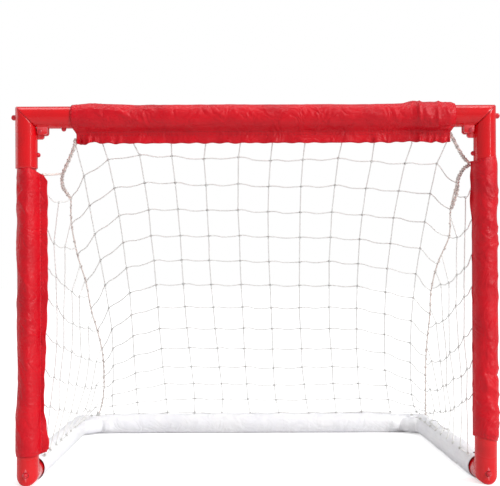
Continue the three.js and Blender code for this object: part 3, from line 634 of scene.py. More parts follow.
def add_corners():
    fork, knuckle = head_meshes()
    pin = pin_mesh()
    snap_top = sqrt(TUBE_BORE_RADIUS ** 2 - LEAF_HALF ** 2) - FIT
    latch_top = HEAD_RADIUS - TONGUE_FROM - TONGUE_THICK - FIT
    latch = button_mesh("latch_button", LATCH_RADIUS, LATCH_PROUD, latch_top, LATCH_LEAF_LENGTH, True)
    snap = button_mesh("snap_button", SNAP_RADIUS, SNAP_PROUD, snap_top, SNAP_LEAF_LENGTH)
    for mesh, material in ((fork, RED), (knuckle, RED), (pin, STEEL), (latch, DARK_RED), (snap, DARK_RED)):
        mesh.materials.append(material)
    X, Y, Z = (1, 0, 0), (0, 1, 0), (0, 0, 1)
    NX, NY, NZ = (-1, 0, 0), (0, -1, 0), (0, 0, -1)
    R, S = HEAD_RADIUS, SNAP_AT
    for side, word, inwards in ((-1, "left", X), (1, "right", NX)):
        corners = (
            (f"top_{word}", (side * WIDTH / 2, FRONT_AXIS, HEIGHT), inwards, NZ, "crossbar", "post"),
            (f"front_{word}", (side * SIDE_AXIS, -DEPTH / 2, 0), Y, Z, "rail", "post"),
            (f"rear_{word}", (side * WIDTH / 2, DEPTH / 2, R), NY, inwards, "rail", "back_bar"),
        )
        for name, origin, fork_leg, knuckle_leg, fork_member, knuckle_member in corners:
            corner = basis(fork_leg, knuckle_leg, Vector(fork_leg).cross(Vector(knuckle_leg)), origin)
            for part, mesh, turn, slot in (
                ("fork_head", fork, basis(X, Y, Z), "red_head"),
                ("knuckle_head", knuckle, basis(Y, X, NZ), "red_head"),
                ("hinge_pin", pin, basis(X, Y, Z), "pin_steel"),
                ("latch_button", latch, basis(Y, NZ, NX, (R, R, 0)), "red_button"),
                (f"{fork_member}_snap", snap, basis(X, NZ, Y, (S, R, 0)), "red_snap"),
                (f"{knuckle_member}_snap", snap, basis(Y, Z, X, (R, S, 0)), "red_snap"),
            ):
                node = f"{name}_{part}"
                piece = add_object(f"{node}_piece", mesh)
                piece.matrix_world = corner @ turn
                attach(piece, NODES[node]["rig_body"])
                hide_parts(node)


# ---------------------------------------------------------------- nets

TWINE_RADIUS = 0.8
NET_ROWS = 13
HEM_COVER = 1.5          # pixels of each cord that the hem hides
CORD_SLOT = 1
# Pixels of the net's upright cords, from left to right, read off the photograph: at the hem, then
# at these crossings down from it.
CROSSINGS = (1, 3, 6, 9, 13)
UPRIGHTS = (
    ((75.7, 146), (84, 176), (95, 234), (109, 308), (113.3, 366), (114, 414)),
    ((102.5, 145), (108, 160), (119.3, 216), (129.5, 292.5), (134.3, 356), (139, 414)),
    ((133, 144), (139.5, 155), (148.3, 210), (155.8, 284.5), (161.3, 348.3), (167.5, 412.5)),
    ((171.3, 144), (171.8, 156.3), (178, 209.5), (183.3, 284.3), (189.3, 348), (195, 412.5)),
    ((205.8, 144), (204.3, 159), (207.5, 210.5), (211.3, 284.3), (217.5, 348.3), (222, 413)),
    ((240.5, 144), (238, 157.5), (238.3, 210), (241.5, 284.3), (244.5, 348.3), (250.5, 413)),
    ((272.5, 144), (270.8, 160.5), (268, 212), (270, 285), (272.5, 349.3), (278.8, 413)),
    ((305, 144), (303.3, 160), (300, 212.5), (299.3, 285), (301.3, 348.8), (308.3, 412.5)),
    ((342, 144), (338.3, 158), (331.8, 211.8), (328.8, 285), (330.8, 348.3), (336.3, 412.5)),
    ((374.3, 144), (371.3, 161.3), (362.5, 214.5), (357, 286.3), (356.8, 348.3), (361.8, 412)),
    ((411.8, 145), (404.5, 163.8), (393.8, 218), (385.5, 292), (384.5, 353), (390, 412)),
    ((446.3, 144.5), (437, 163.5), (424.5, 221.8), (413.5, 298), (410, 362.5), (416.3, 412)),
)
# The seams where the back net is laced to the side nets, at crossings 0 to 13.
LEFT_SEAM = ((63, 180), (71, 199), (71.5, 224), (77.5, 255), (86, 282.5), (91, 309), (97.5, 331), (102, 350),
             (103.5, 364), (104, 377), (104, 388), (103, 398), (101.5, 406), (99, 414))
RIGHT_SEAM = ((457.5, 172), (456.5, 183), (450.5, 209.5), (449, 236.5), (437.5, 264), (431, 291), (430, 314),
              (427.5, 336), (426, 356), (425.5, 375), (425.5, 391), (425.5, 403), (425.5, 411), (425, 416.5))
# Heights of the side nets' rows at the posts, the crossings of the seam that they run to, and their cells.
LEFT_ROWS = ((367, 1.0, 2), (323, 2.75, 3), (275, 4.5, 5), (236, 6.0, 6), (191, 7.8, 7), (146, 9.8, 8),
             (101, 12.0, 9))
RIGHT_ROWS = ((376, 1.4, 2), (334, 3.0, 3), (290, 4.9, 5), (249, 6.6, 6), (196, 8.4, 7), (155, 10.0, 8),
              (112, 12.0, 9))
# The back net's height at the front frame, what it falls in a millimetre of depth, how deep it goes, and its sag.
NET_TOP, NET_FALL, NET_DEPTH, NET_SAG = 431.0, 0.928, 428, 8.5
FRONT_SCALE = 0.787      # pixels to a millimetre at the front frame
KNOT_RADIUS, KNOT_CORD = 0.95, 0.72
FOOT_TIES, FOOT_PITCH = 10, 41.5


def on_back_net(px, py):
    """The point of the sagging back net that is seen at a pixel."""
    below_eye = (py - CENTRE_PIXEL[1]) / FRONT_SCALE
    depth = (NET_TOP - EYE.z + below_eye) / (NET_FALL - below_eye / (FRONT_AXIS - EYE.y))
    share = max(0.0, min(1.0, depth / NET_DEPTH))
    return at_depth(px, py, FRONT_AXIS + depth - NET_SAG * sin(pi * share))


def seen_at(*places):
    """Points from a pixel and a depth each."""
    return [at_depth(*place) for place in places]


class Net(Builder):
    """A mesh of twine. The order of its random draws is part of its shape."""

    def __init__(self, chance):
        super().__init__()
        self.chance = chance

    def winding(self, centre, axis, radius, turns, rise, cord, slot=0, start=None, per_turn=12):
        """A few turns of cord round an axis: a knot, or a whipping."""
        if start is None:
            start = self.chance.uniform(0, 6.28)
        axis = axis.normalized()
        side = axis.orthogonal().normalized()
        other = axis.cross(side)
        count = int(turns * per_turn)
        path = []
        for i in range(count + 1):
            t = start + TURN * i / per_turn
            swell = 1.0 if 0 < i < count else 0.55
            path.append(centre + axis * (rise * (i / count - 0.5))
                        + (side * cos(t) + other * sin(t)) * radius * swell)
        add_tube(self, path, cord, 6, slot)

    def strand(self, a, b, slack, lift, lean):
        """A strand between two knots. It leaves the first a little high and dips before the second."""
        chance, d, steps = self.chance, b - a, 9
        twist = chance.uniform(-0.25, 0.25)
        drop = slack * chance.uniform(0.65, 1.35)
        rise = lift * chance.uniform(0.5, 1.4)
        path = []
        for t in (i / steps for i in range(steps + 1)):
            hump = rise * sin(pi * min(1.0, t / 0.42)) * (1 if t < 0.42 else 0)
            dip = drop * sin(pi * t) ** 1.5 * (0.55 + 0.9 * t)
            wave = lean * twist * sin(pi * t) * d.length * 0.05
            path.append(a + d * t + Vector((0, wave, hump - dip)))
        add_tube(self, path, TWINE_RADIUS)

    def lacing(self, seam):
        """The cord that laces two nets together, wound round the seam."""
        chance, path = self.chance, smooth_path(seam[1:], 7)
        add_tube(self, path, 1.05, 8, CORD_SLOT)
        for i in range(2, len(path) - 2, 3):
            shift = Vector((chance.uniform(-.4, .4), chance.uniform(-.4, .4), 0))
            self.winding(path[i] + shift, path[i + 1] - path[i - 1], chance.uniform(1.1, 1.6),
                         chance.choice((1.0, 1.5)), chance.uniform(4, 8), 0.6, CORD_SLOT, per_turn=10)

    def finish(self, node, *materials):
        net = add_object(f"{node}_twine", self.mesh(f"{node}_twine", 180), *materials)
        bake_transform(net)
        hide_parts(node)


def back_knots(chance):
    """knots[column][row], the first and the last column being the seams."""
    columns = [[on_back_net(*p) for p in LEFT_SEAM]]
    rows = np.arange(NET_ROWS + 1)
    for top, *rest in UPRIGHTS:
        xs, ys = (np.polyval(np.polyfit(CROSSINGS, [p[k] for p in rest], 4), rows) for k in (0, 1))
        column = [at_depth(top[0], top[1] - HEM_COVER, FRONT_AXIS + 3.2)]
        for row in range(1, NET_ROWS + 1):
            x = xs[row] + chance.uniform(-0.45, 0.45)
            y = ys[row] + chance.uniform(-0.4, 0.4)
            column.append(on_back_net(x, y))
        columns.append(column)
    return columns + [[on_back_net(*p) for p in RIGHT_SEAM]]


def add_back_net(net, knots):
    chance = net.chance
    last = len(knots) - 1
    for c, column in enumerate(knots[:-1]):
        if c:
            for row in range(NET_ROWS):
                net.strand(column[row], column[row + 1], 0.25, 0.0, 1.2)
                if row:
                    axis = column[row + 1] - column[row - 1]
                    axis = axis + Vector((chance.uniform(-.3, .3) * axis.length, 0, 0))
                    net.winding(column[row], axis, KNOT_RADIUS, chance.choice((1.5, 2.0, 2.0)),
                                chance.uniform(1.6, 2.4), KNOT_CORD)
            net.winding(column[NET_ROWS], Vector((1, 0, 0)), 2.0, 1.5, 2.2, 0.7)
            top = column[0]
            add_tube(net, [top, top + Vector((0.4, 0.6, 3.5)), top + Vector((0, 0.4, 7.0))], TWINE_RADIUS)
        for row in range(1, NET_ROWS + 1):
            slack = 0.5 if row == NET_ROWS else 3.4 if c in (0, last - 1) and row < 12 else 1.35
            net.strand(column[row], knots[c + 1][row], slack, 0.9, 1.0)


def at_row(seam, row):
    low = min(int(row), len(seam) - 2)
    return seam[low].lerp(seam[low + 1], row - low)


def side_net(side, rows, seam, chance):
    """Rows run from the post's hem back to the seam. The foot is tied along the rail's sleeve."""
    lattice = []
    for height, crossing, cells in rows:
        # tied behind the edge of the hem, which reaches further out at the left post's top
        reach = 21.0 + 5.2 * min(1.0, max(0.0, (height - 120) / 120)) if side < 0 else 16.4
        front = Vector((side * (SIDE_AXIS - reach), FRONT_AXIS + 2.2, height))
        back = at_row(seam, crossing)
        row = []
        for k in range(cells + 1):
            t = k / cells
            bow = sin(pi * t)
            p = front.lerp(back, t) + Vector((side * 3.0 * bow, 0, -9.0 * bow))
            if 0 < k < cells:
                p += Vector((chance.uniform(-2.5, 2.5), chance.uniform(-3, 3), chance.uniform(-3, 3)))
            row.append(p)
        lattice.append(row)
    foot = []
    for k in range(FOOT_TIES):
        inward, height = (12.5, 29.5) if k < FOOT_TIES - 1 else (20, 31.0)
        y = FRONT_AXIS + 46 + k * FOOT_PITCH
        foot.append(Vector((side * (SIDE_AXIS - inward), y + chance.uniform(-3, 3), height)))
    lattice.append([foot[0]] + foot)
    net = Net(chance)
    for i, (row, below) in enumerate(zip(lattice, lattice[1:])):
        for k, (a, b) in enumerate(zip(row, row[1:])):
            net.strand(a, b, 2.2 if k else 3.2, 0.4, 1.5)
        for k in range(1, len(row)):
            at_seam = k == len(row) - 1
            if at_seam and i < len(lattice) - 2:
                continue
            target = below[min(k, len(below) - 1)]
            if not at_seam:
                net.strand(row[k], target, 0.2, 0.0, 4.0)
            net.winding(row[k], target - row[k], KNOT_RADIUS, 2.0, 2.0, KNOT_CORD)
        # the loop that ties the row to the hem
        net.winding(row[0] + Vector((side * 1.2, 0, 0)), Vector((0, 0, 1)), 1.3, 1.5, 1.8, 0.6)
    for k, p in enumerate(foot):
        net.winding(p, Vector((0, 1, 0)), 1.7, 2.0, 2.6, 0.7)
        if k < len(foot) - 1:
            net.strand(p, foot[k + 1], 1.2, 0.0, 1.0)
    # short strands go down from the seam to the row below, where that one has more cells
    for i, (row, below) in enumerate(zip(lattice[:-2], lattice[1:])):
        for k in range(len(row) - 1, len(below) - 1):
            drop = (rows[i + 1][1] - rows[i][1]) * (k - len(row) + 2) / (len(below) - len(row) + 1)
            net.strand(at_row(seam, rows[i][1] + drop), below[k], 0.3, 0.0, 3.0)
    return net


def add_nets():
    chance = random.Random(61)
    knots = back_knots(chance)
    left_seam, right_seam = knots[0], knots[-1]
    net = Net(chance)
    add_back_net(net, knots)
    # lacing cords from the crossbar sleeve's ends down into the seams
    left_top = smooth_path(seen_at((75.5, 139, FRONT_AXIS + 4), (74.8, 145, FRONT_AXIS + 2), (71, 155, -207),
                                   (66.3, 166, -196), (62.5, 175, -180), (62.3, 184, -172), (64.5, 190, -164))
                           + [left_seam[1]], 6)
    right_top = smooth_path(seen_at((448.5, 131, FRONT_AXIS + 4), (453.5, 140, -209), (459.5, 151, -206),
                                    (464, 158, -203), (469.5, 163.5, -203)), 7)
    right_drop = smooth_path(seen_at((470, 165, -203), (464.5, 167.8, -202), (460, 174, -196), (457.5, 182, -180),
                                     (457.3, 191, -165), (453.5, 203, -158)) + [right_seam[2]], 7)
    across = smooth_path(seen_at((42.5, 174.4, FRONT_AXIS + 1), (50, 174.6, -204), (57, 174.2, -192),
                                 (63, 174.0, -181)), 7)
    for path, radius in ((left_top, 1.95), (right_top, 2.1), (right_drop, 1.9), (across, 1.5)):
        add_tube(net, path, radius, 10, CORD_SLOT)
    for path, gap in ((left_top, 3), (right_top, 4), (right_drop, 3)):
        for i in range(3, len(path) - 3, gap):
            net.winding(path[i], path[i + 1] - path[i - 1], 2.1, 1.5, chance.uniform(3, 6), 0.8, CORD_SLOT,
                        per_turn=10)
    net.lacing(left_seam)
    net.lacing(right_seam)
    # the seams' ends, tied in bundles to the back bar
    for foot, spread in ((left_seam[-1], -1), (right_seam[-1], 1)):
        for _ in range(5):
            lean = Vector((spread * chance.uniform(-1.0, 3.5), chance.uniform(-2.5, 0.5), chance.uniform(-4, 2)))
            net.winding(foot + lean, Vector((1, chance.uniform(-.6, .6), chance.uniform(-.5, .5))),
                        chance.uniform(2.4, 3.6), 2.0, chance.uniform(2, 5), 0.95, per_turn=14)
    # the slack of the right seam is tied to the rail in a bundle, and the left one has small ties at its foot
    for _ in range(9):
        spot = at_depth(445.8 + chance.uniform(-3.2, 3.2), 433.2 + chance.uniform(-2.2, 2.4),
                        6 + chance.uniform(-5, 5))
        net.winding(spot, Vector((1, chance.uniform(-.8, .8), chance.uniform(-.7, .3))), chance.uniform(2.6, 4.6),
                    chance.choice((1.0, 1.5, 2.0)), chance.uniform(2, 7), 1.0, per_turn=14)
    tail = [right_seam[-1]] + seen_at((432, 424, 70), (438, 429, 36), (444, 432, 8))
    strap = seen_at((430.5, 421, 85), (436, 420.5, 70), (441, 426, 36), (447, 430, 8))
    add_tube(net, smooth_path(tail, 6), 1.0)
    add_tube(net, smooth_path(strap, 6), TWINE_RADIUS)
    net.winding(at_depth(70.5, 433.4, 128), Vector((1, 0.2, -0.2)), 1.5, 1.5, 3.4, 0.9, CORD_SLOT, start=1.0)
    net.winding(at_depth(49.3, 448, FRONT_AXIS + 6), Vector((0.4, 0.3, 1)), 1.7, 1.0, 1.4, 0.7, CORD_SLOT, start=0.4)
    net.finish("back_net", TWINE, LASHING)
    side_net(-1, LEFT_ROWS, left_seam, chance).finish("left_side_net", TWINE)
    side_net(1, RIGHT_ROWS, right_seam, chance).finish("right_side_net", TWINE)


# ---------------------------------------------------------------- cloth sleeves

CLOTH_BORE = HEAD_RADIUS + 0.35
CLOTH_THICK = 0.55
HEM_LAYER, HEM_EDGE = 0.45, 0.3                    # how far in a hem's inner face lies, and its edge
STITCH_PITCH, STITCH_RADIUS = 1.9, 0.3
RED_FROM, RED_TO = 72, 557.0                       # the crossbar's sleeve, from the frame's left side
LEFT_FROM, LEFT_TO, LEFT_HEM, LEFT_SEAM_AT = 36.4, 401, 22.0, 17.0
RIGHT_FROM, RIGHT_TO, RIGHT_HEM, RIGHT_SEAM_AT = 57, 412, 18.4, 16.6
HALF_TURN = radians(27)                       # of the tube, that the hem takes up
HEM_HALF = 0.75                                    # from the hem's middle to its cloth
SNAP_WINDOW = (4.6, 4.8)
PALE_END = 14.4
PALE_COLUMNS = 64
MITRE_REACH = 44
FLOOR_REST = 0.35                                  # the pale cloth's height where it lies on the floor
COVER_LEVELS, COVER_RISE, COVER_CRUMPLE = 13, 12.6, 1.6


def grow(u, start, length, least=0, most=1):
    return np.clip((u - start) / length, least, most)


def fade(u, end, length, least=0, most=1):
    return np.clip((end - u) / length, least, most)


def bell(value, centre, width):
    return np.exp(-((value - centre) / width) ** 2)


def eased(field, times):
    """The field with its creases slightly rounded. Rows are along the sleeve, columns go round it."""
    for _ in range(times):
        padded = np.vstack([field[:1], field, field[-1:]])
        field = 0.5 * field + 0.125 * (padded[:-2] + padded[2:] + np.roll(field, 1, 1) + np.roll(field, -1, 1))
    return field


class Cloth:
    """Places on a cloth tube, u along it and v round it in millimetres, and what can be laid on them."""

    def __init__(self, u, v, around):
        self.u, self.v, self.around = u, v, around

    def facets(self, size, seed, shear, times=0):
        """Creased cloth: flat facets, 0 to 1, on a random triangulation that repeats round the tube."""
        u, v, around = self.u, self.v, self.around
        chance = random.Random(seed)
        step_u, step_v = size
        count_v = max(3, round(around / step_v))
        step_v = around / count_v
        margin = 3 * step_u
        low, high = u.min() - margin - abs(shear) * around, u.max() + margin + abs(shear) * around
        places, heights = [], []
        for i in range(int((high - low) / step_u) + 1):
            for j in range(count_v):
                pu = low + (i + chance.uniform(-.42, .42) + 0.5 * (j % 2)) * step_u
                pv = (j + chance.uniform(-.4, .4)) * step_v
                height = chance.random()
                for turn in (-1, 0, 1):
                    if -2.2 * step_v < pv + turn * around < around + 2.2 * step_v:
                        places.append(Vector((pu, pv + turn * around)))
                        heights.append(height)
        made, _, faces, sources, _, _ = geometry.delaunay_2d_cdt(places, [], [], 0, 1e-6)
        tops = np.array([heights[s[0]] if s else 0.5 for s in sources])
        corners = np.array([(p.x, p.y) for p in made])
        uu, vv = (u + shear * v).ravel(), v.ravel()
        out = np.full(uu.shape, 0.5)
        for face in faces:
            three = corners[list(face[:3])]
            (u0, v0), (u1, v1) = three.min(0), three.max(0)
            index = np.nonzero((uu >= u0) & (uu <= u1) & (vv >= v0) & (vv <= v1))[0]
            a, b, c = three
            area = (b[1] - c[1]) * (a[0] - c[0]) + (c[0] - b[0]) * (a[1] - c[1])
            if not len(index) or abs(area) < 1e-9:
                continue
            x, y = uu[index] - c[0], vv[index] - c[1]
            s = ((b[1] - c[1]) * x + (c[0] - b[0]) * y) / area
            t = ((c[1] - a[1]) * x + (a[0] - c[0]) * y) / area
            inside = (s >= -1e-6) & (t >= -1e-6) & (s + t <= 1 + 1e-6)
            s, t = s[inside], t[inside]
            out[index[inside]] = s * tops[face[0]] + t * tops[face[1]] + (1 - s - t) * tops[face[2]]
        return eased(out.reshape(u.shape), times)

    def fold(self, start, end, width, height):
        """A sharp ridge from one place to another, fading at both ends. A negative height is a crease."""
        best = np.zeros_like(self.u)
        for turn in (-self.around, 0, self.around):
            a, b = np.array(start, float) + (0, turn), np.array(end, float) + (0, turn)
            d = b - a
            size = sqrt(d @ d)
            u, v = self.u - a[0], self.v - a[1]
            t = (u * d[0] + v * d[1]) / (d @ d)
            s = np.clip(t, 0, 1)
            bend = 0.08 * size * np.sin(pi * s)
            n = np.array((-d[1], d[0])) / size
            away = np.hypot(u - d[0] * s - n[0] * bend, v - d[1] * s - n[1] * bend)
            ends = np.clip(np.minimum(t + 0.15, 1.15 - t) * 4, 0, 1)
            best = np.maximum(best, np.exp(-away / width) * ends)
        return height * best

    def far_side(self):
        """1 at the middle of the tube's side away from the hem, -1 at the hem."""
        return np.cos(TURN * (self.v / self.around - 0.5))


def sleeve_section(hem_reach, seam):
    """The cross-section of a hemmed sleeve: (towards the hem, to the front), the zone of each point and the
    distance round. It starts at the hem's edge on the front, and goes round the tube to its edge at the back."""
    radius = CLOTH_BORE + 0.3
    side = radius * cos(HALF_TURN), radius * sin(HALF_TURN)
    hem = [((hem_reach + (seam - hem_reach) * t, HEM_HALF), ("hem", t)) for t in np.linspace(0, 1, 8)[:-1]]
    join = [((seam + (side[0] - seam) * t, HEM_HALF + (side[1] - HEM_HALF) * t), ("join", t))
            for t in np.linspace(0, 1, 5)[:-1]]
    turns = [HALF_TURN + (TURN - 2 * HALF_TURN) * t for t in np.linspace(0, 1, 45)]
    tube = [((radius * cos(a), radius * sin(a)), ("tube", a)) for a in turns]
    back = [((h, -w), zone) for (h, w), zone in reversed(hem + join)]
    section, zones = zip(*(hem + join + tube + back))
    section = np.array(section)
    steps = np.hypot(*(np.roll(section, -1, 0) - section).T)
    return section, zones, np.concatenate([[0], np.cumsum(steps)])


def rear_arc(hem, seam):
    """Where the middle of a post sleeve's rear side is, round the cloth."""
    _, zones, arc = sleeve_section(hem, seam)
    return arc[int(np.argmin([abs(at - 1.5 * pi) if kind == "tube" else 9.0 for kind, at in zones]))]


def cloth_mesh(name, outer, inner, mask, us, arc):
    """A closed thin shell from two grids that go round a tube, with windows where the mask is false."""
    rows, columns = outer.shape[:2]
    base = rows * columns
    weft, warp = 0.0005, 0.0006          # UVs across the cloth's thickness
    b = Builder()
    b.points = [tuple(p) for p in outer.reshape(-1, 3)] + [tuple(p) for p in inner.reshape(-1, 3)]

    def at(i, j):
        return i * columns + j % columns

    for i, j in zip(*np.nonzero(mask)):
        i, j = int(i), int(j)
        quad = (at(i, j), at(i + 1, j), at(i + 1, j + 1), at(i, j + 1))
        u0, u1, v0, v1 = us[i] * MM, us[i + 1] * MM, arc[j] * MM, arc[j + 1] * MM
        uv = [(u0, v0), (u1, v0), (u1, v1), (u0, v1)]
        b.face(quad, uv)
        b.face(tuple(base + k for k in reversed(quad)), uv[::-1])
        for (ni, nj), p, q, (x, y) in (((i - 1, j), quad[0], quad[3], uv[0]), ((i + 1, j), quad[2], quad[1], uv[1]),
                                       ((i, j - 1), quad[1], quad[0], uv[0]), ((i, j + 1), quad[3], quad[2], uv[3])):
            if not (0 <= ni < rows - 1 and mask[ni, nj % columns]):
                b.face((p, q, q + base, p + base), [(x, y), (x + weft, y), (x + weft, y + warp), (x, y + warp)])
    return b.mesh(name, 180)


class Sleeve:
    """A cloth tube on a member. u runs along the member in millimetres."""

    def __init__(self, origin, along, towards, front, start, stop, spacing):
        self.origin = np.array(origin, float)
        self.axes = [np.array(a, float) for a in (along, towards, front)]
        self.us = np.linspace(start, stop, int((stop - start) / spacing) + 1)

    def world(self, u, h, w):
        along, towards, front = self.axes
        return self.origin + u[..., None] * along + h[..., None] * towards + w[..., None] * front

    def mask(self, columns, windows, distance):
        """False in the windows: a place along and one round the cloth, and half of each size."""
        middles = (self.us[:-1] + self.us[1:]) / 2
        mask = np.ones((len(middles), columns), bool)
        for along, around, half_u, half_v in windows:
            mask &= ~((np.abs(middles - along)[:, None] < half_u) & (distance(around)[None] < half_v))
        return mask

    def dress(self, node, mesh, material, around, body, slot):
        piece = add_object(f"{node}_cloth", mesh, material)
        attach(piece, body)
        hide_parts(node)


def normals(h, w):
    """Outward normals of closed sections, one for each row."""
    dh = np.roll(h, -1, 1) - np.roll(h, 1, 1)
    dw = np.roll(w, -1, 1) - np.roll(w, 1, 1)
    size = np.hypot(dh, dw) + 1e-9
    return dw / size, -dh / size


def red_sleeve(node, sleeve, hem, seam, swell, ruffle, edge, slant, windows=(), widen=None):
    """A hemmed red sleeve. It gives the outer surface's grid, for the stitches."""
    section, zones, arc = sleeve_section(hem, seam)
    us, around = sleeve.us, arc[-1]
    u, v = np.meshgrid(us, arc[:-1], indexing="ij")
    h = np.broadcast_to(section[:, 0], u.shape).copy()
    w = np.broadcast_to(section[:, 1], u.shape).copy()
    sign = np.where(w >= 0, 1.0, -1.0)
    share = {"hem": lambda t: (1 - t, 0.0, 0.25 * (t > 0.7)), "join": lambda t: (0.0, t, 1.0 * (t < 0.95)),
             "tube": lambda t: (0.0, 1.0, 0.0)}
    in_hem, in_tube, on_join = np.array([share[kind](at) for kind, at in zones]).T
    d = swell(Cloth(u, v, around)) * in_tube
    if widen is not None:
        w += sign * 3.4 * bell(u, widen, 8.5) * on_join
    nh, nw = normals(h, w)
    tube = in_tube > 0
    h = h + nh * d * tube
    w = w + nw * d * tube
    # the hem: both layers wave together, and its edge is uneven
    w += ruffle(u) * (in_hem ** 1.3)
    h += edge(u) * in_hem
    lean = slant(u, h)
    nh, nw = normals(h, w)
    inner_h = np.where(in_hem > 0, h - HEM_EDGE * (in_hem > 0.9), h - nh * CLOTH_THICK)
    inner_w = np.where(in_hem > 0, w - sign * HEM_LAYER, w - nw * CLOTH_THICK)
    outer = sleeve.world(u + lean, h, w)
    middles = (arc[:-1] + arc[1:]) / 2
    mask = sleeve.mask(len(section), windows, lambda place: np.abs(middles - place))
    mesh = cloth_mesh(f"{node}_cloth", outer, sleeve.world(u + lean, inner_h, inner_w), mask, us, arc)
    sleeve.dress(node, mesh, RED_NYLON, around, "front_frame", "red_cloth")
    return outer


def thread_points(line, beside, lift):
    """Evenly spaced points on a line of the cloth's grid, lifted off it."""
    line, beside = [Vector(p) for p in line], [Vector(p) for p in beside]
    points, travelled = [], 0.0
    for here, ahead, aside in zip(line, line[1:], beside):
        d = ahead - here
        n = d.cross(aside - here).normalized()
        while travelled < d.length:
            points.append(here + d * (travelled / d.length) + n * lift)
            travelled += STITCH_PITCH
        travelled -= d.length
    return points


def along_column(outer, column, lift=0.1):
    return thread_points(outer[:, column], outer[:, (column + 1) % outer.shape[1]], lift)


def round_row(outer, row, lift):
    return thread_points([*outer[row], outer[row][0]], outer[row + 1], -lift)


def stitched(node, *rows):
    """Short thread stitches, each from one point to the next but one."""
    b = Builder()
    for row in rows:
        for a, c in zip(row[::2], row[1::2]):
            d = c - a
            thread = [a + d * 0.04, a + d * 0.2, (a + c) / 2, c - d * 0.2, c - d * 0.04]
            add_tube(b, thread, STITCH_RADIUS, 6, taper=0.5)
    piece = add_object(f"{node}_stitches", b.mesh(f"{node}_stitches", 180), STITCH)
    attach(piece, "front_frame")


def crossbar_swell(cloth):
    """Nearly taut over the middle, dragged folds at the left end, deep bunched folds at the right end."""
    u, left, right = cloth.u, RED_FROM, RED_TO
    bunch = 1 / (1 + np.exp(-(u - (right - 62)) / 7))
    field = 1.0 * cloth.facets((46, 26), 3, 0.5, 2)
    field += (0.45 + 1.2 * bell(u, left + 30, 42)) * cloth.facets((19, 15), 8, -0.6, 1)
    field += 0.35 * cloth.facets((8, 7), 14, 0.3)
    field = field * (1 - bunch) + bunch * (3.6 * cloth.facets((10, 34), 21, 0.18, 1)
                                           + 1.3 * cloth.facets((6.5, 12), 5, -0.4))
    for start, end, width, height in (
        ((left + 8, 62), (left + 74, 34), 2.4, 1.0), ((left + 14, 44), (left + 96, 27), 2.6, 1.1),
        ((left + 30, 70), (left + 120, 50), 2.4, 0.8), ((right - 74, 72), (right - 30, 28), 2.4, 1.6),
        ((right - 46, 30), (right - 40, 70), 2.0, 2.4), ((right - 22, 26), (right - 18, 66), 1.8, 2.0),
        ((right - 8, 34), (right - 12, 58), 1.6, 1.5),
    ):
        field += cloth.fold(start, end, width, height)
    field += bell(u, right - 40, 20) * (0.5 + 0.5 * cloth.far_side())
    band = 0.75 / (1 + np.exp((u - left - 6.4) / 0.5))
    ends = grow(u, left, 9) * fade(u, right, 4, 0.25)
    return 0.1 + field * (0.2 + 0.8 * ends) + band


def post_swell(low, high, seed, folds, bunches, loose, drawn):
    def swell(cloth):
        u = cloth.u
        field = 0.9 * cloth.facets((52, 24), seed, 0.55, 1)
        field += 1.15 * loose * cloth.facets((24, 17), seed + 1, -0.7, 1)
        field += 0.42 * loose * cloth.facets((9, 8), seed + 2, 0.4)
        for centre, width, height in bunches:
            field += bell(u, centre, width) * height * cloth.facets((8, 30), seed + 3, 0.35, 1)
        for start, end, width, height in folds:
            field += cloth.fold(start, end, width, height)
        ends = grow(u, low, 7, 0.15) * fade(u, high, 7, 0.15)
        return 0.08 + np.maximum(field, -0.2) * ends - drawn(u) * np.maximum(0, cloth.far_side()) ** 0.6
    return swell


def ruffled(seed, wavelength, height, low, high):
    """A smooth random wave along a sleeve, smaller at its ends."""
    chance = random.Random(seed)
    parts = [(chance.uniform(0.6, 1.7) * TURN / wavelength, chance.uniform(0, 6.28), chance.uniform(0.4, 1.0))
             for _ in range(5)]
    size = sum(p[2] for p in parts)

    def value(u):
        total = sum(a * np.sin(k * u + p) for k, p, a in parts) / size
        return height * 2.0 * total * grow(u, low, 10, 0.3) * fade(u, high, 10, 0.3)
    return value


def add_crossbar_sleeve():
    sleeve = Sleeve((-WIDTH / 2, FRONT_AXIS, TOP_AXIS), (1, 0, 0), (0, 0, -1), (0, -1, 0), RED_FROM, RED_TO, 1.6)
    chance = random.Random(8)
    puckers = [(RED_FROM + chance.random() ** 1.6 * 60, chance.uniform(1.6, 4.5), chance.uniform(-4.0, 4.0))
               for _ in range(13)]
    puckers += [(RED_TO - chance.random() ** 1.3 * 105, chance.uniform(1.6, 5.5), chance.uniform(-4.2, 4.2))
                for _ in range(26)]
    puckers += [(chance.uniform(130, 450), chance.uniform(3, 12), chance.uniform(-0.9, 0.9)) for _ in range(14)]
    broad = ruffled(9, 46, 1.6, RED_FROM, RED_TO)
    uneven = ruffled(15, 30, 0.9, RED_FROM, RED_TO)

    def ruffle(u):
        ends = np.clip(1.25 * bell(u, 78, 42) + 1.3 * bell(u, RED_TO - 8, 62), 0, 1)
        gathered = sum(height * bell(u, centre, width) for centre, width, height in puckers)
        return gathered + (0.5 + 0.5 * ends) * broad(u)

    def edge(u):
        return 0.7 * uneven(u) + 0.7 + 1.2 * bell(u, 84, 7) - 1.6 * bell(u, 100, 9) - 0.8 * bell(u, RED_TO - 55, 20)

    def slant(u, h):
        return (5.5 * fade(u, 98, 26) - 5.0 * grow(u, RED_TO - 30, 30)) * grow(h, 13, 8)
    outer = red_sleeve("crossbar_sleeve", sleeve, 32.6, 18.6, crossbar_swell, ruffle, edge, slant,
                       widen=WIDTH - SNAP_AT)
    stitched("crossbar_sleeve", along_column(outer, 7), along_column(outer, 5),
             along_column(outer, outer.shape[1] - 8, -0.1), round_row(outer, 1, 0.05), round_row(outer, 4, 0.05))


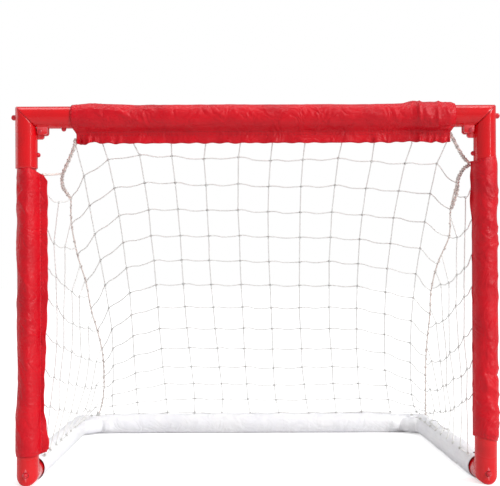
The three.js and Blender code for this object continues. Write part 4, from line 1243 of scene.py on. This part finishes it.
def add_left_post_sleeve():
    sleeve = Sleeve((-SIDE_AXIS, FRONT_AXIS, 0), (0, 0, 1), (1, 0, 0), (0, -1, 0), LEFT_FROM, LEFT_TO, 1.7)
    folds = [((60, 30), (150, 62), 3.2, 0.9), ((120, 25), (210, 48), 3.0, 0.8), ((190, 60), (260, 28), 3.0, 0.9),
             ((250, 24), (330, 52), 3.2, 1.0), ((310, 62), (372, 30), 3.0, 1.1), ((340, 22), (390, 44), 2.6, 1.2),
             ((372, 30), (396, 52), 2.4, -0.9), ((95, 20), (60, 40), 3.0, -0.6)]
    nibble = ruffled(36, 37, 0.5, 37, LEFT_TO)

    def edge(u):
        foot = 5.4 * fade(u, 92, 34) * grow(u, 36, 5, 0.6)
        return foot + 5.2 * grow(u, 120, 120) * fade(u, LEFT_TO, 12, 0.2) - 0.8 + nibble(u)
    rear = rear_arc(LEFT_HEM, LEFT_SEAM_AT)
    outer = red_sleeve(
        "left_post_sleeve", sleeve, LEFT_HEM, LEFT_SEAM_AT,
        post_swell(LEFT_FROM, LEFT_TO, 40, folds, [(392, 8, 1.0)], 0.75, lambda u: 3.4 * grow(u, 70, 60)),
        ruffled(31, 60, 1.1, 37, LEFT_TO), edge,
        lambda u, h: -8.0 * grow(u, 378, 23) * grow(h, 7, 14) + 5.0 * fade(u, 60, 24) * grow(h, 9, 14),
        windows=[(36, rear, 7.5, 11.0), (SNAP_AT, rear, *SNAP_WINDOW)])
    stitched("left_post_sleeve", along_column(outer, 6), round_row(outer, len(sleeve.us) - 4, -0.05))


def add_right_post_sleeve():
    sleeve = Sleeve((SIDE_AXIS, FRONT_AXIS, 0), (0, 0, 1), (-1, 0, 0), (0, -1, 0), RIGHT_FROM, RIGHT_TO, 1.7)
    folds = [((322, 18), (318, 66), 1.6, -1.6), ((335, 24), (322, 58), 2.4, 1.5), ((300, 24), (312, 62), 2.6, 1.6),
             ((142, 18), (140, 64), 1.6, -1.5), ((150, 30), (146, 60), 2.4, 1.5), ((127, 22), (108, 60), 2.0, 1.7),
             ((118, 20), (96, 56), 1.8, -1.2), ((98, 24), (88, 62), 2.2, 1.4), ((74, 22), (72, 58), 1.5, -1.2),
             ((80, 30), (79, 60), 2.2, 1.0), ((360, 30), (392, 60), 2.6, 1.4), ((384, 24), (350, 52), 2.4, 1.3),
             ((250, 24), (282, 58), 3.0, 1.1), ((210, 60), (252, 28), 3.0, 1.0), ((165, 26), (205, 56), 3.0, 1.0),
             ((62, 30), (66, 60), 1.6, 0.9)]
    bunches = [(312, 13, 1.8), (130, 16, 1.9), (92, 10, 1.4), (70, 9, 1.2), (400, 9, 0.9)]
    nibble = ruffled(56, 44, 1.0, RIGHT_FROM, RIGHT_TO)
    outer = red_sleeve(
        "right_post_sleeve", sleeve, RIGHT_HEM, RIGHT_SEAM_AT,
        post_swell(RIGHT_FROM, RIGHT_TO, 60, folds, bunches, 1.0, lambda u: 0.6 * grow(u, 70, 30)),
        ruffled(51, 42, 1.2, RIGHT_FROM, RIGHT_TO), lambda u: nibble(u) - 2.4 * fade(u, 350, 30),
        lambda u, h: (3.4 * grow(u, 385, 27) - 3.2 * fade(u, 84, 27)) * np.clip(-h / 14, -1, 1),
        windows=[(SNAP_AT, rear_arc(RIGHT_HEM, RIGHT_SEAM_AT), *SNAP_WINDOW)])
    stitched("right_post_sleeve", round_row(outer, len(sleeve.us) - 3, -0.05), round_row(outer, 3, 0.05))


def angle_apart(a, b):
    return np.abs((a - b + pi) % TURN - pi)


def pale_sleeve(node, sleeve, slack, towards, mitres, windows, bumps, seed, extra=()):
    """A pale cloth tube with slack, pressed flat where it lies on the floor."""
    turns = np.arange(PALE_COLUMNS) * 2 * pi / PALE_COLUMNS
    us, middle_radius = sleeve.us, CLOTH_BORE + 1
    around = TURN * middle_radius
    u, a = np.meshgrid(us, turns, indexing="ij")
    cloth = Cloth(u, a / TURN * around, around)
    d = 0.25 + 0.9 * cloth.facets((40, 22), seed, 0.5, 2) + 0.6 * cloth.facets((17, 13), seed + 1, -0.5, 1)
    for centre_u, centre_a, reach, height, half_a in bumps:
        d += height * np.exp(-((u - centre_u) / reach) ** 4 - (angle_apart(a, centre_a) / half_a) ** 4)
    d += (slack(u) * np.clip(np.cos(a - towards), 0, 1) ** 1.5
          * (0.75 + 0.5 * cloth.facets((26, 20), seed + 2, 0.3, 1)))
    radius = CLOTH_BORE + 0.15 + np.maximum(d, 0)
    h, w = radius * np.cos(a), radius * np.sin(a)
    floor = FLOOR_REST - HEAD_RADIUS
    h = np.where(h < floor, floor + 0.02 * (h - floor), h)
    reach = np.hypot(h, w)
    shrink = (reach - CLOTH_THICK) / reach
    # the ends are cut on the mitre
    shift = np.zeros_like(u)
    for from_end, sign in mitres:
        shift += np.clip(1 - from_end(u) / MITRE_REACH, 0, 1) * sign * w
    outer = sleeve.world(u + shift, h, w)
    inner = sleeve.world(u + shift, np.maximum(h * shrink, floor + 0.3), w * shrink)
    middles = turns + pi / PALE_COLUMNS
    mask = sleeve.mask(PALE_COLUMNS, windows, lambda place: angle_apart(middles, place) * middle_radius)
    mesh = cloth_mesh("pale_cloth", outer, inner, mask, us, np.arange(PALE_COLUMNS + 1) * around / PALE_COLUMNS)
    sleeve.dress(node, joined(f"{node}_cloth", mesh, *extra), PALE_NYLON, around, "base", "pale_cloth")


def corner_cover(side):
    """The pale cloth drawn over a rear corner's hinge, from the back bar's sleeve to the rail's."""
    plan = [(3, 12), (12, 3), (46, 4), (58, 14), (54, 27), (47, 40), (40, 47), (27, 54), (14, 58), (4, 46)]
    closed = smooth_path([Vector((*p, 0)) for p in plan + plan[:1]], 6)[:-1]
    middle = Vector((24, 24, 0))
    u, v = np.meshgrid(np.arange(COVER_LEVELS) * 4.0, np.arange(len(closed)) * 3.0, indexing="ij")
    crumple = COVER_CRUMPLE * (Cloth(u, v, len(closed) * 3.0).facets((9, 12), 70 + side, 0.4, 1) - 0.5)
    outlines = []
    for level in range(COVER_LEVELS):
        turn = pi * (level / (COVER_LEVELS - 1) - 0.5)
        spread, height = max(cos(turn), 0.0) ** 0.38, COVER_RISE * sin(turn)
        ring = []
        for k, p in enumerate(closed):
            q = middle + (p - middle) * (0.10 + 0.90 * spread)
            q += (p - middle).normalized() * crumple[level, k] * spread
            z = HEAD_RADIUS + height + (1.2 * crumple[level, k] if abs(height) < 12 else 0)
            ring.append((side * (WIDTH / 2 - q.x), DEPTH / 2 - q.y, max(z, 0.4)))
        outlines.append(ring)
    b = Builder()
    b.loft(outlines)
    mesh = b.mesh("corner_cover", 180)
    for loop in mesh.loops:
        p = mesh.vertices[loop.vertex_index].co
        mesh.uv_layers[0].data[loop.index].uv = (p.x + p.z * 0.5, p.y + p.z * 0.5)
    return mesh


def add_pale_sleeves():
    def from_start(u):
        return u - u.min()

    def from_stop(u):
        return u.max() - u
    rear_bump = (QUARTER, 8, 4.0, 0.5)               # over a rear snap button
    for side, word in ((-1, "left"), (1, "right")):
        rail = Sleeve((side * SIDE_AXIS, -DEPTH / 2, HEAD_RADIUS), (0, 1, 0), (0, 0, 1), (-side, 0, 0),
                      44, DEPTH - PALE_END, 2.2)
        pale_sleeve(f"{word}_rail_sleeve", rail, lambda u: 1.2 + 3.4 * grow(u, 60, 60) * fade(u, 400, 40), 0.5,
                    [(from_stop, -1)], [(SNAP_AT, 0, *SNAP_WINDOW)], [(DEPTH - SNAP_AT, *rear_bump)], 80 + side)
    bar = Sleeve((-WIDTH / 2, REAR_AXIS, HEAD_RADIUS), (1, 0, 0), (0, 0, 1), (0, -1, 0),
                 PALE_END, WIDTH - PALE_END, 2.2)
    pale_sleeve("back_bar_sleeve", bar, lambda u: 1.0 + 3.6 * grow(u, 50, 50) * fade(u, WIDTH - 50, 50), 0.55,
                [(from_start, 1), (from_stop, -1)],
                [(HEAD_RADIUS, -QUARTER, 5.4, 5.4), (WIDTH - HEAD_RADIUS, -QUARTER, 5.4, 5.4)],
                [(SNAP_AT, *rear_bump), (WIDTH - SNAP_AT, *rear_bump)], 90, [corner_cover(side) for side in (-1, 1)])


# ---------------------------------------------------------------- the scene

bpy.context.scene.view_settings.view_transform = "Standard"
make_camera()
make_lights()
make_floor()
add_corners()
for word in ("crossbar", "left_post", "right_post", "left_rail", "right_rail", "back_bar"):
    tube = NODES[f"{word}_tube"]
    tube.data.materials.clear()
    tube.data.materials.append(TUBE_RED)
add_crossbar_sleeve()
add_left_post_sleeve()
add_right_post_sleeve()
add_pale_sleeves()
add_nets()
